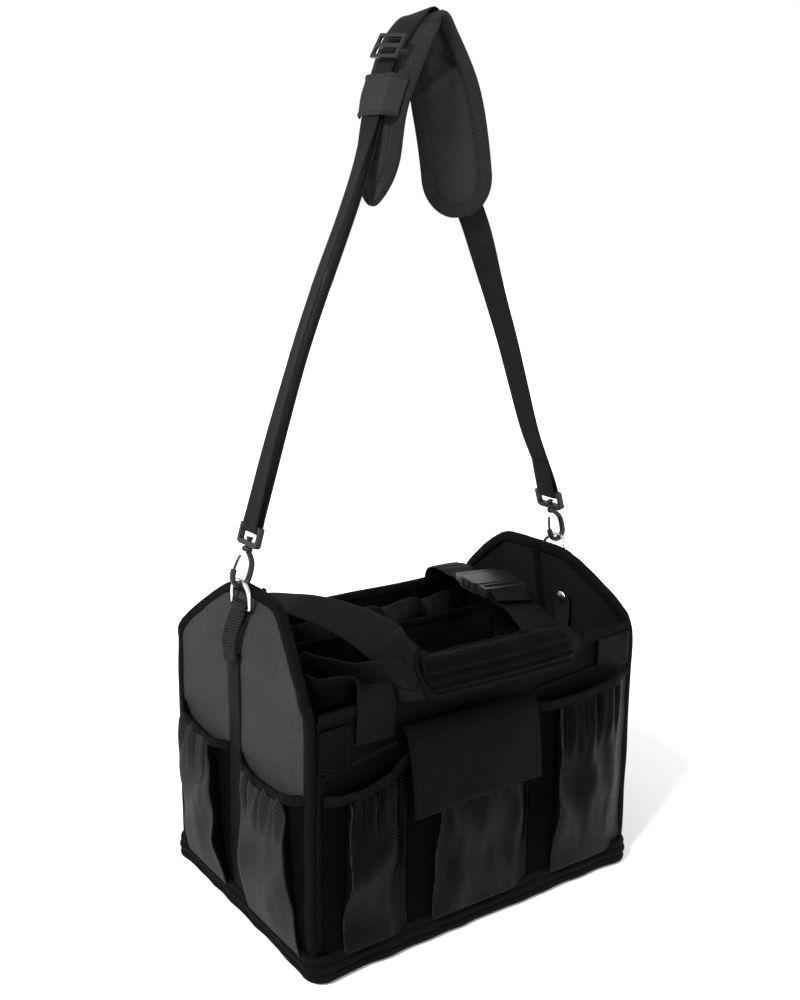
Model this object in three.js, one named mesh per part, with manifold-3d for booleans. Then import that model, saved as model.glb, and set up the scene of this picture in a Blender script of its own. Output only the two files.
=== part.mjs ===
// Tool storage caddy: an open fabric tote with pockets on all four sides, a padded carry grip,
// a side-release buckle in one handle web and a clip-on shoulder strap.
// Millimetres, +Z up. The origin is at the centre of the footprint, on the floor.
// The front faces -Y. Every part of the rear is a copy of the front, turned half a turn about Z.

import * as THREE from 'three';
import { mergeVertices } from 'three/addons/utils/BufferGeometryUtils.js';
import Module from 'manifold-3d';

const wasm = await Module();
wasm.setup();

// ---------------------------------------------------------------- driving dimensions
const LENGTH = 350;          // outside of the end panels, at the floor
const DEPTH = 250;           // outside of the front and back panels
const RIM_Z = 236;           // top of the front and back panels
const PEAK_Z = 302;          // top of the end panels
const PEAK_FLAT = 90;        // length of an end panel's level top edge
const SHOULDER_LEAN = 6;     // how far an end panel leans in at rim height
const PEAK_LEAN = { left: 22, right: 15 };   // the same at the peak
const CORNER_R = 12;         // outside radius of the upright corners
const PANEL_T = 4;           // foam-backed panel
const CLOTH_T = 2;           // single pocket cloth
const GAP = 0.3;             // clearance between neighbouring pieces
const BAND_SHUT = 0.6;       // clearance under a folded binding

const TRAY_FLOOR = 2;
const TRAY_WALL = 1.8;
const TRAY_TOP = 24;
const PIPING_R = 1.5;
const PIPING_Z = 12;
const BOARD_T = 3;

const SEAM_LEFT = -83;       // seams between the three front pockets
const SEAM_RIGHT = 57;
const POCKET_EDGE = 162;     // outer edge of the two outer front pockets
const POCKET_FOOT = 25;
const STRIP_Y = -5;          // centre of the upright web on the right end (mirrored on the left)
const STRIP_W = 22;

const HANDLE_WEB = 38;       // handle webbing width
const STRAP_WEB = 25;        // shoulder strap webbing width
const WEB_T = 1.6;

const RING_Y = 16;           // the rings sit off centre, left one to the rear
const RING_BAR_Z = 283;
const RING_WIRE = 2;         // wire radius
const RING_R = 16;           // radius of the ring's round part, to the wire's centre
const RING_SIDE = 8;         // straight part between the bar and the arc
const RING_X = { left: 163, right: 168 };
const RING_TILT = { left: 4, right: 12 };    // degrees, outwards
const HOOK_TILT = { left: 16, right: 18 };   // degrees, towards the middle

const GRIP = { y: -131.5, z: 245.5, half: 19, thick: 8, tilt: 47 };
const BUCKLE = { x: 111, y: 0, z: 258, turn: -0.191 };

const CHARCOAL = 0x34343a;
const BLACK = 0x1c1c1e;
const WEB_COLOUR = 0x232325;
const PLASTIC = 0x101011;
const STEEL = 0xb8b8b8;

const X = new THREE.Vector3(1, 0, 0);
const Y = new THREE.Vector3(0, 1, 0);
const Z = new THREE.Vector3(0, 0, 1);
const ALONG_X = [1, 0, 0];
const vec = (x, y, z) => new THREE.Vector3(x, y, z);
const rad = THREE.MathUtils.degToRad;

// ---------------------------------------------------------------- geometry helpers

// Keeps only welded positions, and turns the faces outwards if they point in.
function solid(geometry) {
  const bare = new THREE.BufferGeometry();
  bare.setAttribute('position', geometry.getAttribute('position').clone());
  if (geometry.index) bare.setIndex(geometry.index.clone());
  const merged = mergeVertices(bare, 1e-4);
  const p = merged.getAttribute('position');
  const index = Array.from(merged.index.array);
  const corner = (i) => vec(0, 0, 0).fromBufferAttribute(p, index[i]);
  let volume = 0;
  for (let i = 0; i < index.length; i += 3) {
    volume += corner(i).dot(corner(i + 1).cross(corner(i + 2)));
  }
  if (volume < 0) {
    for (let i = 0; i < index.length; i += 3) [index[i], index[i + 1]] = [index[i + 1], index[i]];
    merged.setIndex(index);
  }
  return merged;
}

// A closed shell between two grids of points. around joins the grid's two v edges into a tube.
function shell(nu, nv, outer, inner, around = false) {
  const columns = around ? nv : nv + 1;
  const points = [];
  for (const face of [outer, inner]) {
    for (let i = 0; i <= nu; i++) {
      for (let j = 0; j < columns; j++) points.push(...face(i / nu, j / nv).toArray());
    }
  }
  const at = (side, i, j) => (side * (nu + 1) + i) * columns + (j % columns);
  const index = [];
  const quad = (a, b, c, d) => index.push(a, b, c, a, c, d);
  for (let i = 0; i < nu; i++) {
    for (let j = 0; j < nv; j++) {
      quad(at(0, i, j), at(0, i + 1, j), at(0, i + 1, j + 1), at(0, i, j + 1));
      quad(at(1, i, j), at(1, i, j + 1), at(1, i + 1, j + 1), at(1, i + 1, j));
    }
  }
  for (let j = 0; j < nv; j++) {
    quad(at(0, 0, j), at(0, 0, j + 1), at(1, 0, j + 1), at(1, 0, j));
    quad(at(0, nu, j), at(1, nu, j), at(1, nu, j + 1), at(0, nu, j + 1));
  }
  for (let i = 0; i < nu && !around; i++) {
    quad(at(0, i, 0), at(1, i, 0), at(1, i + 1, 0), at(0, i + 1, 0));
    quad(at(0, i, nv), at(0, i + 1, nv), at(1, i + 1, nv), at(1, i, nv));
  }
  const geometry = new THREE.BufferGeometry();
  geometry.setAttribute('position', new THREE.Float32BufferAttribute(points, 3));
  geometry.setIndex(index);
  return solid(geometry);
}

// A route for flat goods: each station is a point and the direction of the width there.
function route(stations) {
  const line = new THREE.CatmullRomCurve3(stations.map(([p]) => vec(...p)), false, 'centripetal');
  const width = new THREE.CatmullRomCurve3(stations.map(([, w]) => vec(...w)));
  return (u) => {
    const along = line.getTangent(u);
    const across = width.getPoint(u);
    across.addScaledVector(along, -across.dot(along)).normalize();
    return { point: line.getPoint(u), across, normal: along.clone().cross(across).normalize() };
  };
}

// A point beside a route: side along its width, lift along its normal.
function beside(frame, side, lift) {
  return frame.point.clone().addScaledVector(frame.across, side).addScaledVector(frame.normal, lift);
}

function ribbon(stations, width, steps, thickness = WEB_T) {
  const path = route(stations);
  const face = (lift) => (u, v) => beside(path(u), (v - 0.5) * width, lift);
  return shell(steps, 1, face(thickness / 2), face(-thickness / 2));
}

function block(x0, x1, y0, y1, z0, z1) {
  const box = new THREE.BoxGeometry(x1 - x0, y1 - y0, z1 - z0);
  return box.translate((x0 + x1) / 2, (y0 + y1) / 2, (z0 + z1) / 2);
}

function outline(points) {
  return new THREE.Shape(points.map(([a, b]) => new THREE.Vector2(a, b)));
}

function prism(shape, depth) {
  return new THREE.ExtrudeGeometry(shape, { depth, bevelEnabled: false, curveSegments: 5 });
}

// Shapes drawn in (y, z) and thickened along x from x0 to x1.
function prismYZ(shape, x0, x1) {
  const turn = new THREE.Matrix4().makeBasis(Y, Z, X);
  return prism(shape, x1 - x0).applyMatrix4(turn).translate(x0, 0, 0);
}

// Shapes drawn in (x, z) and thickened along y from y0 to y1.
function prismXZ(shape, y0, y1) {
  const turn = new THREE.Matrix4().makeBasis(X, Z, Y.clone().negate());
  return prism(shape, y1 - y0).applyMatrix4(turn).translate(0, y1, 0);
}

// Points of a rectangle with round corners, anticlockwise.
function roundedRectangle(halfX, halfY, radius, steps = 4) {
  const points = [];
  const corners = [[1, 1], [-1, 1], [-1, -1], [1, -1]];
  corners.forEach(([sx, sy], k) => {
    for (let i = 0; i <= steps; i++) {
      const angle = (k + i / steps) * Math.PI / 2;
      points.push([sx * (halfX - radius) + radius * Math.cos(angle),
        sy * (halfY - radius) + radius * Math.sin(angle)]);
    }
  });
  return points;
}

// A round bar bent along a closed flat path in the XY plane.
function closedBar(path, radius, sides = 6) {
  const n = path.length;
  const points = [];
  path.forEach(([px, py], i) => {
    const before = path[(i + n - 1) % n];
    const after = path[(i + 1) % n];
    const side = new THREE.Vector2(after[1] - before[1], before[0] - after[0]).normalize();
    for (let j = 0; j < sides; j++) {
      const angle = j / sides * 2 * Math.PI;
      const out = radius * Math.cos(angle);
      points.push(px + side.x * out, py + side.y * out, radius * Math.sin(angle));
    }
  });
  const index = [];
  const at = (i, j) => (i % n) * sides + (j % sides);
  for (let i = 0; i < n; i++) {
    for (let j = 0; j < sides; j++) {
      index.push(at(i, j), at(i + 1, j), at(i + 1, j + 1), at(i, j), at(i + 1, j + 1), at(i, j + 1));
    }
  }
  const geometry = new THREE.BufferGeometry();
  geometry.setAttribute('position', new THREE.Float32BufferAttribute(points, 3));
  geometry.setIndex(index);
  return solid(geometry);
}

// A round bar along an open path of points.
function openBar(points, radius, steps, sides = 8) {
  const circle = new THREE.Shape();
  circle.absarc(0, 0, radius, 0, 2 * Math.PI);
  const path = new THREE.CatmullRomCurve3(points.map((p) => vec(...p)));
  return new THREE.ExtrudeGeometry(circle, {
    steps, extrudePath: path, bevelEnabled: false, curveSegments: sides / 2,
  });
}

function toManifold(geometry) {
  const g = solid(geometry);
  const vertProperties = Float32Array.from(g.getAttribute('position').array);
  const triVerts = Uint32Array.from(g.index.array);
  return new wasm.Manifold(new wasm.Mesh({ numProp: 3, vertProperties, triVerts }));
}

function fromManifold(manifold) {
  const mesh = manifold.getMesh();
  const geometry = new THREE.BufferGeometry();
  geometry.setAttribute('position', new THREE.Float32BufferAttribute(mesh.vertProperties, 3));
  geometry.setIndex(Array.from(mesh.triVerts));
  return geometry;
}

function join(...parts) {
  return fromManifold(parts.map(toManifold).reduce((sum, part) => sum.add(part)));
}

function cut(body, ...tools) {
  const rest = tools.map(toManifold).reduce((left, tool) => left.subtract(tool), toManifold(body));
  return fromManifold(rest);
}

// ---------------------------------------------------------------- assembly helpers
const caddy = new THREE.Group();

const FINISHES = {
  charcoal_fabric: { color: CHARCOAL, roughness: 0.85, metalness: 0 },
  black_fabric: { color: BLACK, roughness: 0.8, metalness: 0 },
  black_webbing: { color: WEB_COLOUR, roughness: 0.7, metalness: 0 },
  black_plastic: { color: PLASTIC, roughness: 0.4, metalness: 0 },
  steel: { color: STEEL, roughness: 0.25, metalness: 1 },
};

function add(name, geometry, finish, parent = caddy) {
  const mesh = new THREE.Mesh(solid(geometry), new THREE.MeshStandardMaterial(FINISHES[finish]));
  mesh.name = name;
  parent.add(mesh);
  return mesh;
}

// How far an end panel has leaned in at height z.
function lean(side, z) {
  if (z <= RIM_Z) return SHOULDER_LEAN * z / RIM_Z;
  return SHOULDER_LEAN + (PEAK_LEAN[side] - SHOULDER_LEAN) * (z - RIM_Z) / (PEAK_Z - RIM_Z);
}

// Moves a piece drawn for an upright right end onto the leaning right or left end.
function atEnd(geometry, side) {
  const bent = geometry.clone();
  const p = bent.getAttribute('position');
  const sign = side === 'left' ? -1 : 1;
  for (let i = 0; i < p.count; i++) {
    p.setXYZ(i, sign * (p.getX(i) - lean(side, p.getZ(i))), sign * p.getY(i), p.getZ(i));
  }
  return bent;
}

// Moves a piece drawn for the front to the front or, turned half a turn, to the back.
function atFace(geometry, side) {
  return side === 'front' ? geometry : geometry.clone().rotateZ(Math.PI);
}

const ENDS = ['left', 'right'];
const FACES = ['front', 'back'];
const END_X = LENGTH / 2;
const FACE_Y = -DEPTH / 2;

// ---------------------------------------------------------------- base
function addBase() {
  const innerX = END_X + GAP;
  const innerY = DEPTH / 2 + GAP;
  const outside = roundedRectangle(innerX + TRAY_WALL, innerY + TRAY_WALL, CORNER_R + TRAY_WALL);
  const inside = roundedRectangle(innerX, innerY, CORNER_R);
  const hollow = prism(outline(inside), TRAY_TOP).translate(0, 0, TRAY_FLOOR);
  add('base_tray', cut(prism(outline(outside), TRAY_TOP), hollow), 'black_fabric');

  const reach = TRAY_WALL + GAP + PIPING_R;
  const line = roundedRectangle(innerX + reach, innerY + reach, CORNER_R + reach);
  add('base_piping', closedBar(line, PIPING_R).translate(0, 0, PIPING_Z), 'black_webbing');

  const margin = PANEL_T + 1;
  const board = roundedRectangle(END_X - margin - 1, DEPTH / 2 - margin, CORNER_R - 4);
  add('base_board', prism(outline(board), BOARD_T).translate(0, 0, TRAY_FLOOR + GAP), 'black_plastic');
}

// ---------------------------------------------------------------- panels, corners and bindings
const PANEL_FOOT = TRAY_FLOOR + GAP;
const CORNER_Y = DEPTH / 2 - CORNER_R;      // where the corner piece meets the end panel
const CORNER_X = END_X - CORNER_R;
const BIND_LIP = 1.3;
const BIND_DEPTH = 10;

// The end panel's upper outline, drawn in by a distance: right shoulder, right peak.
function houseTop(inset) {
  const halfTop = PEAK_FLAT / 2;
  const slope = new THREE.Vector2(DEPTH / 2 - halfTop, PEAK_Z - RIM_Z).normalize();
  const outward = new THREE.Vector2(slope.y, slope.x);
  const edgeAt = (y) => PEAK_Z - (inset + (y - halfTop) * outward.x) / outward.y;
  const peakZ = PEAK_Z - inset;
  const peakY = halfTop - (inset + (peakZ - PEAK_Z) * outward.y) / outward.x;
  return { shoulder: [CORNER_Y - GAP, edgeAt(CORNER_Y - GAP)], peak: [peakY, peakZ] };
}

function endPanel() {
  const { shoulder, peak } = houseTop(BIND_LIP + BAND_SHUT + 1);
  const [sy, sz] = shoulder;
  const [py, pz] = peak;
  const lower = block(END_X - PANEL_T, END_X, -sy, sy, PANEL_FOOT, RIM_Z);
  const roof = outline([[-sy, RIM_Z], [sy, RIM_Z], [sy, sz], [py, pz], [-py, pz], [-sy, sz]]);
  return [lower, prismYZ(roof, END_X - PANEL_T, END_X)];
}

// A folded tape over the end panel's sloping and level edges.
function endBinding() {
  const { shoulder, peak } = houseTop(0);
  const path = [[-shoulder[0], shoulder[1]], [-peak[0], peak[1]], peak, shoulder];
  const mid = END_X - PANEL_T / 2;
  const slot = PANEL_T / 2 + GAP;
  const out = slot + BIND_LIP;
  const section = [[-out, -BIND_DEPTH], [-out, 0], [out, 0], [out, -BIND_DEPTH], [slot, -BIND_DEPTH],
    [slot, -BIND_LIP - BAND_SHUT], [-slot, -BIND_LIP - BAND_SHUT], [-slot, -BIND_DEPTH]];
  const normals = path.slice(1).map(([y, z], i) => {
    const [y0, z0] = path[i];
    return new THREE.Vector2(z0 - z, y - y0).normalize();
  });
  const outward = path.map((_, i) => {
    const a = normals[Math.max(i - 1, 0)];
    const b = normals[Math.min(i, normals.length - 1)];
    const sum = a.clone().add(b).normalize();
    return sum.divideScalar(sum.dot(a));
  });
  const points = [];
  path.forEach(([y, z], i) => section.forEach(([across, depth]) => {
    points.push(mid + across, y + outward[i].x * depth, z + outward[i].y * depth);
  }));
  const n = section.length;
  const index = [];
  for (let i = 0; i + 1 < path.length; i++) {
    for (let j = 0; j < n; j++) {
      const [a, b] = [i * n + j, i * n + (j + 1) % n];
      index.push(a, b, b + n, a, b + n, a + n);
    }
  }
  const last = (path.length - 1) * n;
  const caps = THREE.ShapeUtils.triangulateShape(section.map(([a, b]) => new THREE.Vector2(a, b)), []);
  for (const [a, b, c] of caps) index.push(a, b, c, last + c, last + b, last + a);
  const geometry = new THREE.BufferGeometry();
  geometry.setAttribute('position', new THREE.Float32BufferAttribute(points, 3));
  geometry.setIndex(index);
  return geometry;
}

function cornerPost() {
  const steps = 5;
  const arc = (radius) => (u, v) => {
    const angle = -v * Math.PI / 2;
    return vec(CORNER_X + radius * Math.cos(angle), -CORNER_Y + radius * Math.sin(angle),
      PANEL_FOOT + u * (RIM_Z - PANEL_FOOT));
  };
  return shell(1, steps, arc(CORNER_R), arc(CORNER_R - PANEL_T));
}

function facePanel() {
  const face = (y) => (u, v) => {
    const z = PANEL_FOOT + v * (RIM_Z - BIND_LIP - 2 * GAP - PANEL_FOOT);
    return vec((u - 0.5) * 2 * (CORNER_X - GAP - lean('right', z)), y, z);
  };
  return shell(1, 1, face(FACE_Y), face(FACE_Y + PANEL_T));
}

function rimBinding() {
  const reach = CORNER_X - GAP - SHOULDER_LEAN;
  const [y0, y1] = [FACE_Y - GAP, FACE_Y + PANEL_T + GAP];
  const section = outline([[y0 - BIND_LIP, RIM_Z - BIND_DEPTH], [y0, RIM_Z - BIND_DEPTH],
    [y0, RIM_Z - BIND_LIP - GAP], [y1, RIM_Z - BIND_LIP - GAP], [y1, RIM_Z - BIND_DEPTH],
    [y1 + BIND_LIP, RIM_Z - BIND_DEPTH], [y1 + BIND_LIP, RIM_Z], [y0 - BIND_LIP, RIM_Z]]);
  return prismYZ(section, -reach, reach);
}

function addPanels() {
  for (const side of ENDS) {
    add(`${side}_end_panel`, join(...endPanel().map((piece) => atEnd(piece, side))), 'charcoal_fabric');
    add(`${side}_end_binding`, atEnd(endBinding(), side), 'black_webbing');
  }
  for (const side of FACES) {
    add(`${side}_panel`, atFace(facePanel(), side), 'black_fabric');
    add(`${side}_rim_binding`, atFace(rimBinding(), side), 'black_webbing');
  }
  // The right front and left rear posts are one shape; the other two are its mirror image in y.
  for (const side of ENDS) {
    const mirrored = cornerPost().scale(1, -1, 1);
    const [near, far] = side === 'right' ? ['front', 'back'] : ['back', 'front'];
    add(`${near}_${side}_corner`, atEnd(cornerPost(), side), 'black_webbing');
    add(`${far}_${side}_corner`, atEnd(solid(mirrored), side), 'black_webbing');
  }
}

// ---------------------------------------------------------------- pockets
const BELLY = { foot: 7, middle: 15, mouth: 9.5 };   // how far a pocket stands off its panel
const BELLY_AT = 0.55;                                // height of the fullest part, as a share
const HEM = 0.1;                                      // share of the width taken by a side wall

// A pocket drawn flat: u across, v up. place(u, v, depth) sets a point that far off the panel.
function pocket(place, deep = 1) {
  const depth = (u, v) => {
    const wall = Math.min(1, u / HEM, (1 - u) / HEM, v / HEM);
    const swell = Math.sin(Math.min(v, BELLY_AT) / BELLY_AT * Math.PI / 2);
    const taper = Math.max(0, (v - BELLY_AT) / (1 - BELLY_AT));
    const belly = BELLY.foot + (BELLY.middle - BELLY.foot) * swell + (BELLY.mouth - BELLY.middle) * taper;
    return deep * wall * belly;
  };
  return shell(10, 8, (u, v) => place(u, v, GAP + CLOTH_T + depth(u, v)),
    (u, v) => place(u, v, GAP + depth(u, v)));
}

// A pocket on the front panel between two uprights. The mouth runs straight, with a sag.
function facePocket(x0, x1, mouth0, mouth1, sag) {
  return pocket((u, v, d) => {
    const top = mouth0 + (mouth1 - mouth0) * u - sag * Math.sin(Math.PI * u);
    const z = POCKET_FOOT + v * (top - POCKET_FOOT);
    const edge = Math.min(CORNER_X - GAP - lean('right', z), Math.abs(x0 + (x1 - x0) * u));
    return vec(Math.sign(x0 + (x1 - x0) * u) * edge, FACE_Y - d, z);
  });
}

// A pocket on the right end panel between two uprights.
function endPocket(y0, y1, mouth0, mouth1, sag) {
  return pocket((u, v, d) => {
    const top = mouth0 + (mouth1 - mouth0) * u - sag * Math.sin(Math.PI * u);
    return vec(END_X + d, y0 + (y1 - y0) * u, POCKET_FOOT + v * (top - POCKET_FOOT));
  }, 0.9);
}

function addPockets() {
  const seam = 1;
  const columns = [
    ['left', -POCKET_EDGE, SEAM_LEFT - seam, 164, 178, 6],
    ['centre', SEAM_LEFT + seam, SEAM_RIGHT - seam, 184, 184, 5],
    ['right', SEAM_RIGHT + seam, POCKET_EDGE, 192, 194, 6],
  ];
  for (const side of FACES) {
    for (const [name, ...shape] of columns) {
      add(`${side}_${name}_pocket`, atFace(facePocket(...shape), side), 'black_fabric');
    }
  }
  const edge = CORNER_Y - GAP;
  const strip0 = STRIP_Y - STRIP_W / 2 - GAP;
  const strip1 = STRIP_Y + STRIP_W / 2 + GAP;
  for (const side of ENDS) {
    const [low, high] = side === 'right' ? ['front', 'back'] : ['back', 'front'];
    const lowPocket = endPocket(-edge, strip0, 166, 158, 6);
    const highPocket = endPocket(strip1, edge, 158, 160, 6);
    add(`${side}_end_${low}_pocket`, atEnd(lowPocket, side), 'charcoal_fabric');
    add(`${side}_end_${high}_pocket`, atEnd(highPocket, side), 'charcoal_fabric');
  }
}

// ---------------------------------------------------------------- flaps over the centre pockets
const FLAP = { x0: -90, x1: 56, hingeY: FACE_Y - 2.2, hingeZ: 207, thick: 2 };

function flap() {
  // How far the flap stands off the panel, and how far below the hinge.
  const fall = [[2.4, 0], [10, -10], [15.5, -28], [20, -52], [21.5, -76]];
  const face = (lift) => (u, v) => {
    const k = Math.min(Math.floor(v * 4), 3);
    const t = v * 4 - k;
    const out = fall[k][0] + (fall[k + 1][0] - fall[k][0]) * t;
    const drop = fall[k][1] + (fall[k + 1][1] - fall[k][1]) * t;
    return vec(FLAP.x0 + u * (FLAP.x1 - FLAP.x0), FACE_Y - out - lift, FLAP.hingeZ + drop);
  };
  return shell(2, 4, face(FLAP.thick), face(0));
}

function addFlaps() {
  for (const side of FACES) add(`${side}_flap`, atFace(flap(), side), 'black_fabric');
}

// ---------------------------------------------------------------- end webs, ring tabs and rings
const TAB_W = 25;
const TAB_FOOT = 238;
const TAB_SHEAR = 0.24;      // the tab is sewn on at a slant

function addEndHardware() {
  for (const side of ENDS) {
    const sign = side === 'left' ? -1 : 1;
    const strip = block(END_X + GAP, END_X + GAP + WEB_T, STRIP_Y - STRIP_W / 2, STRIP_Y + STRIP_W / 2,
      TRAY_TOP + 1, TAB_FOOT - 4);
    add(`${side}_end_web`, atEnd(strip, side), 'black_webbing');

    // A doubled web with an eyelet round the ring's bar, drawn upright over the ring's bar.
    const barX = RING_X[side];
    const foot = END_X - lean(side, TAB_FOOT) + BIND_LIP + 2 * GAP;
    const eye = RING_WIRE + 0.5;
    const cloth = 1.8;
    const side0 = [[foot, TAB_FOOT], [foot + 2 * cloth, TAB_FOOT],
      [barX + eye + cloth, RING_BAR_Z - 2], [barX - eye - cloth, RING_BAR_Z - 2]];
    const round = new THREE.CylinderGeometry(eye + cloth, eye + cloth, TAB_W, 14);
    const bore = new THREE.CylinderGeometry(eye, eye, TAB_W + 2, 14);
    const tail = prismXZ(outline(side0), -TAB_W / 2, TAB_W / 2);
    const body = join(tail, round.translate(barX, 0, RING_BAR_Z));
    const tab = cut(body, bore.translate(barX, 0, RING_BAR_Z));
    const p = tab.getAttribute('position');
    for (let i = 0; i < p.count; i++) {
      const y = p.getY(i) + Math.max(0, RING_BAR_Z - 6 - p.getZ(i)) * TAB_SHEAR - RING_Y;
      p.setXYZ(i, sign * p.getX(i), sign * y, p.getZ(i));
    }
    add(`${side}_ring_tab`, tab, 'black_webbing');

    const arc = [[RING_R, 0], [RING_R, RING_SIDE]];
    for (let i = 1; i < 10; i++) {
      const angle = i / 10 * Math.PI;
      arc.push([RING_R * Math.cos(angle), RING_SIDE + RING_R * Math.sin(angle)]);
    }
    arc.push([-RING_R, RING_SIDE], [-RING_R, 0]);
    const ring = add(`${side}_d_ring`, closedBar(arc, RING_WIRE, 8), 'steel');
    ring.geometry.applyMatrix4(new THREE.Matrix4().makeBasis(Y, Z, X));
    ring.rotation.y = sign * rad(RING_TILT[side]);
    ring.position.set(sign * barX, -sign * RING_Y, RING_BAR_Z);
  }
}

// The centre of the ring's wire at the crown, where the hook hangs.
function ringCrown(side) {
  const sign = side === 'left' ? -1 : 1;
  const height = RING_SIDE + RING_R;
  const tilt = rad(RING_TILT[side]);
  return vec(sign * (RING_X[side] + height * Math.sin(tilt)), -sign * RING_Y,
    RING_BAR_Z + height * Math.cos(tilt));
}

// ---------------------------------------------------------------- swivel hooks
const HOOK = { bend: 8, rise: 3, rod: 2.6, neck: 25, collar: 4.6, eyeFoot: 30, eyeTop: 49, eyeWall: 3.5 };

function hookBody() {
  const { bend, rise, rod, neck, collar } = HOOK;
  const points = [[-bend, 0, rise + 4]];
  for (let i = 0; i <= 6; i++) {
    const angle = Math.PI + i / 6 * Math.PI;
    points.push([bend * Math.cos(angle), 0, rise + bend * Math.sin(angle)]);
  }
  points.push([bend, 0, rise + 10], [bend - 2.5, 0, neck - 5], [0.5, 0, neck + 1]);
  const rodPiece = openBar(points, rod, 26);
  const collarPiece = new THREE.CylinderGeometry(collar, collar, 3.7, 12);
  const stem = new THREE.CylinderGeometry(1.9, 1.9, 10, 12);
  const head = new THREE.CylinderGeometry(3.4, 3.4, 2, 12);
  return join(rodPiece, collarPiece.rotateX(Math.PI / 2).translate(0, 0, neck + 2.6),
    stem.rotateX(Math.PI / 2).translate(0, 0, neck + 8),
    head.rotateX(Math.PI / 2).translate(0, 0, neck + 12));
}

function hookGate() {
  const { bend, rise, neck } = HOOK;
  const line = [[-bend + 0.2, 0, rise + 4.4], [-bend + 0.6, 0, rise + 12], [-5.4, 0, neck - 3.4]];
  return openBar(line, 1.5, 4);
}

function swivelEye() {
  const { eyeFoot, eyeTop, eyeWall } = HOOK;
  const half = STRAP_WEB / 2 + 1;
  const wall = eyeWall;
  const frame = prismYZ(outline([[-half - wall, eyeFoot + 2], [-half, eyeFoot], [half, eyeFoot],
    [half + wall, eyeFoot + 2], [half + wall, eyeTop - 1], [half, eyeTop], [-half, eyeTop],
    [-half - wall, eyeTop - 1]]), -2.5, 2.5);
  const window = block(-4, 4, -half, half, eyeFoot + 4.5, eyeTop - 4);
  const bore = new THREE.CylinderGeometry(2.3, 2.3, 12, 12);
  return cut(frame, window, bore.rotateX(Math.PI / 2).translate(0, 0, eyeFoot + 2));
}

function addHooks() {
  for (const side of ENDS) {
    const sign = side === 'left' ? -1 : 1;
    const group = new THREE.Group();
    group.position.copy(ringCrown(side));
    group.rotation.y = -sign * rad(HOOK_TILT[side]);
    caddy.add(group);
    add(`${side}_hook`, hookBody(), 'black_plastic', group);
    add(`${side}_hook_gate`, hookGate(), 'steel', group);
    add(`${side}_swivel_eye`, swivelEye(), 'black_plastic', group);
  }
}

// A point in a hook's own upright frame, in the caddy's frame.
function fromHook(side, across, up) {
  const sign = side === 'left' ? -1 : 1;
  const tilt = -sign * rad(HOOK_TILT[side]);
  return ringCrown(side).add(vec(across, 0, up).applyAxisAngle(Y, tilt)).toArray();
}

// ---------------------------------------------------------------- shoulder strap
const FACE_VIEW = [0.81, -0.58, 0];       // width of the right half of the pad and web
const EDGE_ON = [0, -1, 0];               // width of the left half
const BAR_UP = HOOK.eyeTop - 2;           // centre of the eye's upper bar
const LOOP = 6;                           // how far the web dips under the bar's centre
const RUN = 4.2;                          // half the distance between the doubled web's two runs

const PAD_ROUTE = [
  [[-40, 4, 616], EDGE_ON], [[-35, 4, 658], EDGE_ON], [[-29, 3, 701], EDGE_ON],
  [[-16, 2, 741], [0.15, -0.99, 0]], [[4, 0, 768], [0.35, -0.93, 0]], [[22, -2, 768], [0.6, -0.8, 0]],
  [[33, -3, 741], [0.75, -0.66, 0]], [[41, -4, 701], FACE_VIEW], [[50, -5, 658], FACE_VIEW],
  [[58, -6, 612], FACE_VIEW],
];
const PAD = { width: 68, thick: 9, lift: 7.4 };

// Web on the pad's outer side, lifted clear of it. The normal of the pad's route points inwards.
function overPad(u, lift) {
  const frame = route(PAD_ROUTE)(u);
  return [beside(frame, 0, lift).toArray(), frame.across.toArray()];
}

function outwardSign() {
  return route(PAD_ROUTE)(0.5).normal.z > 0 ? 1 : -1;
}

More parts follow.
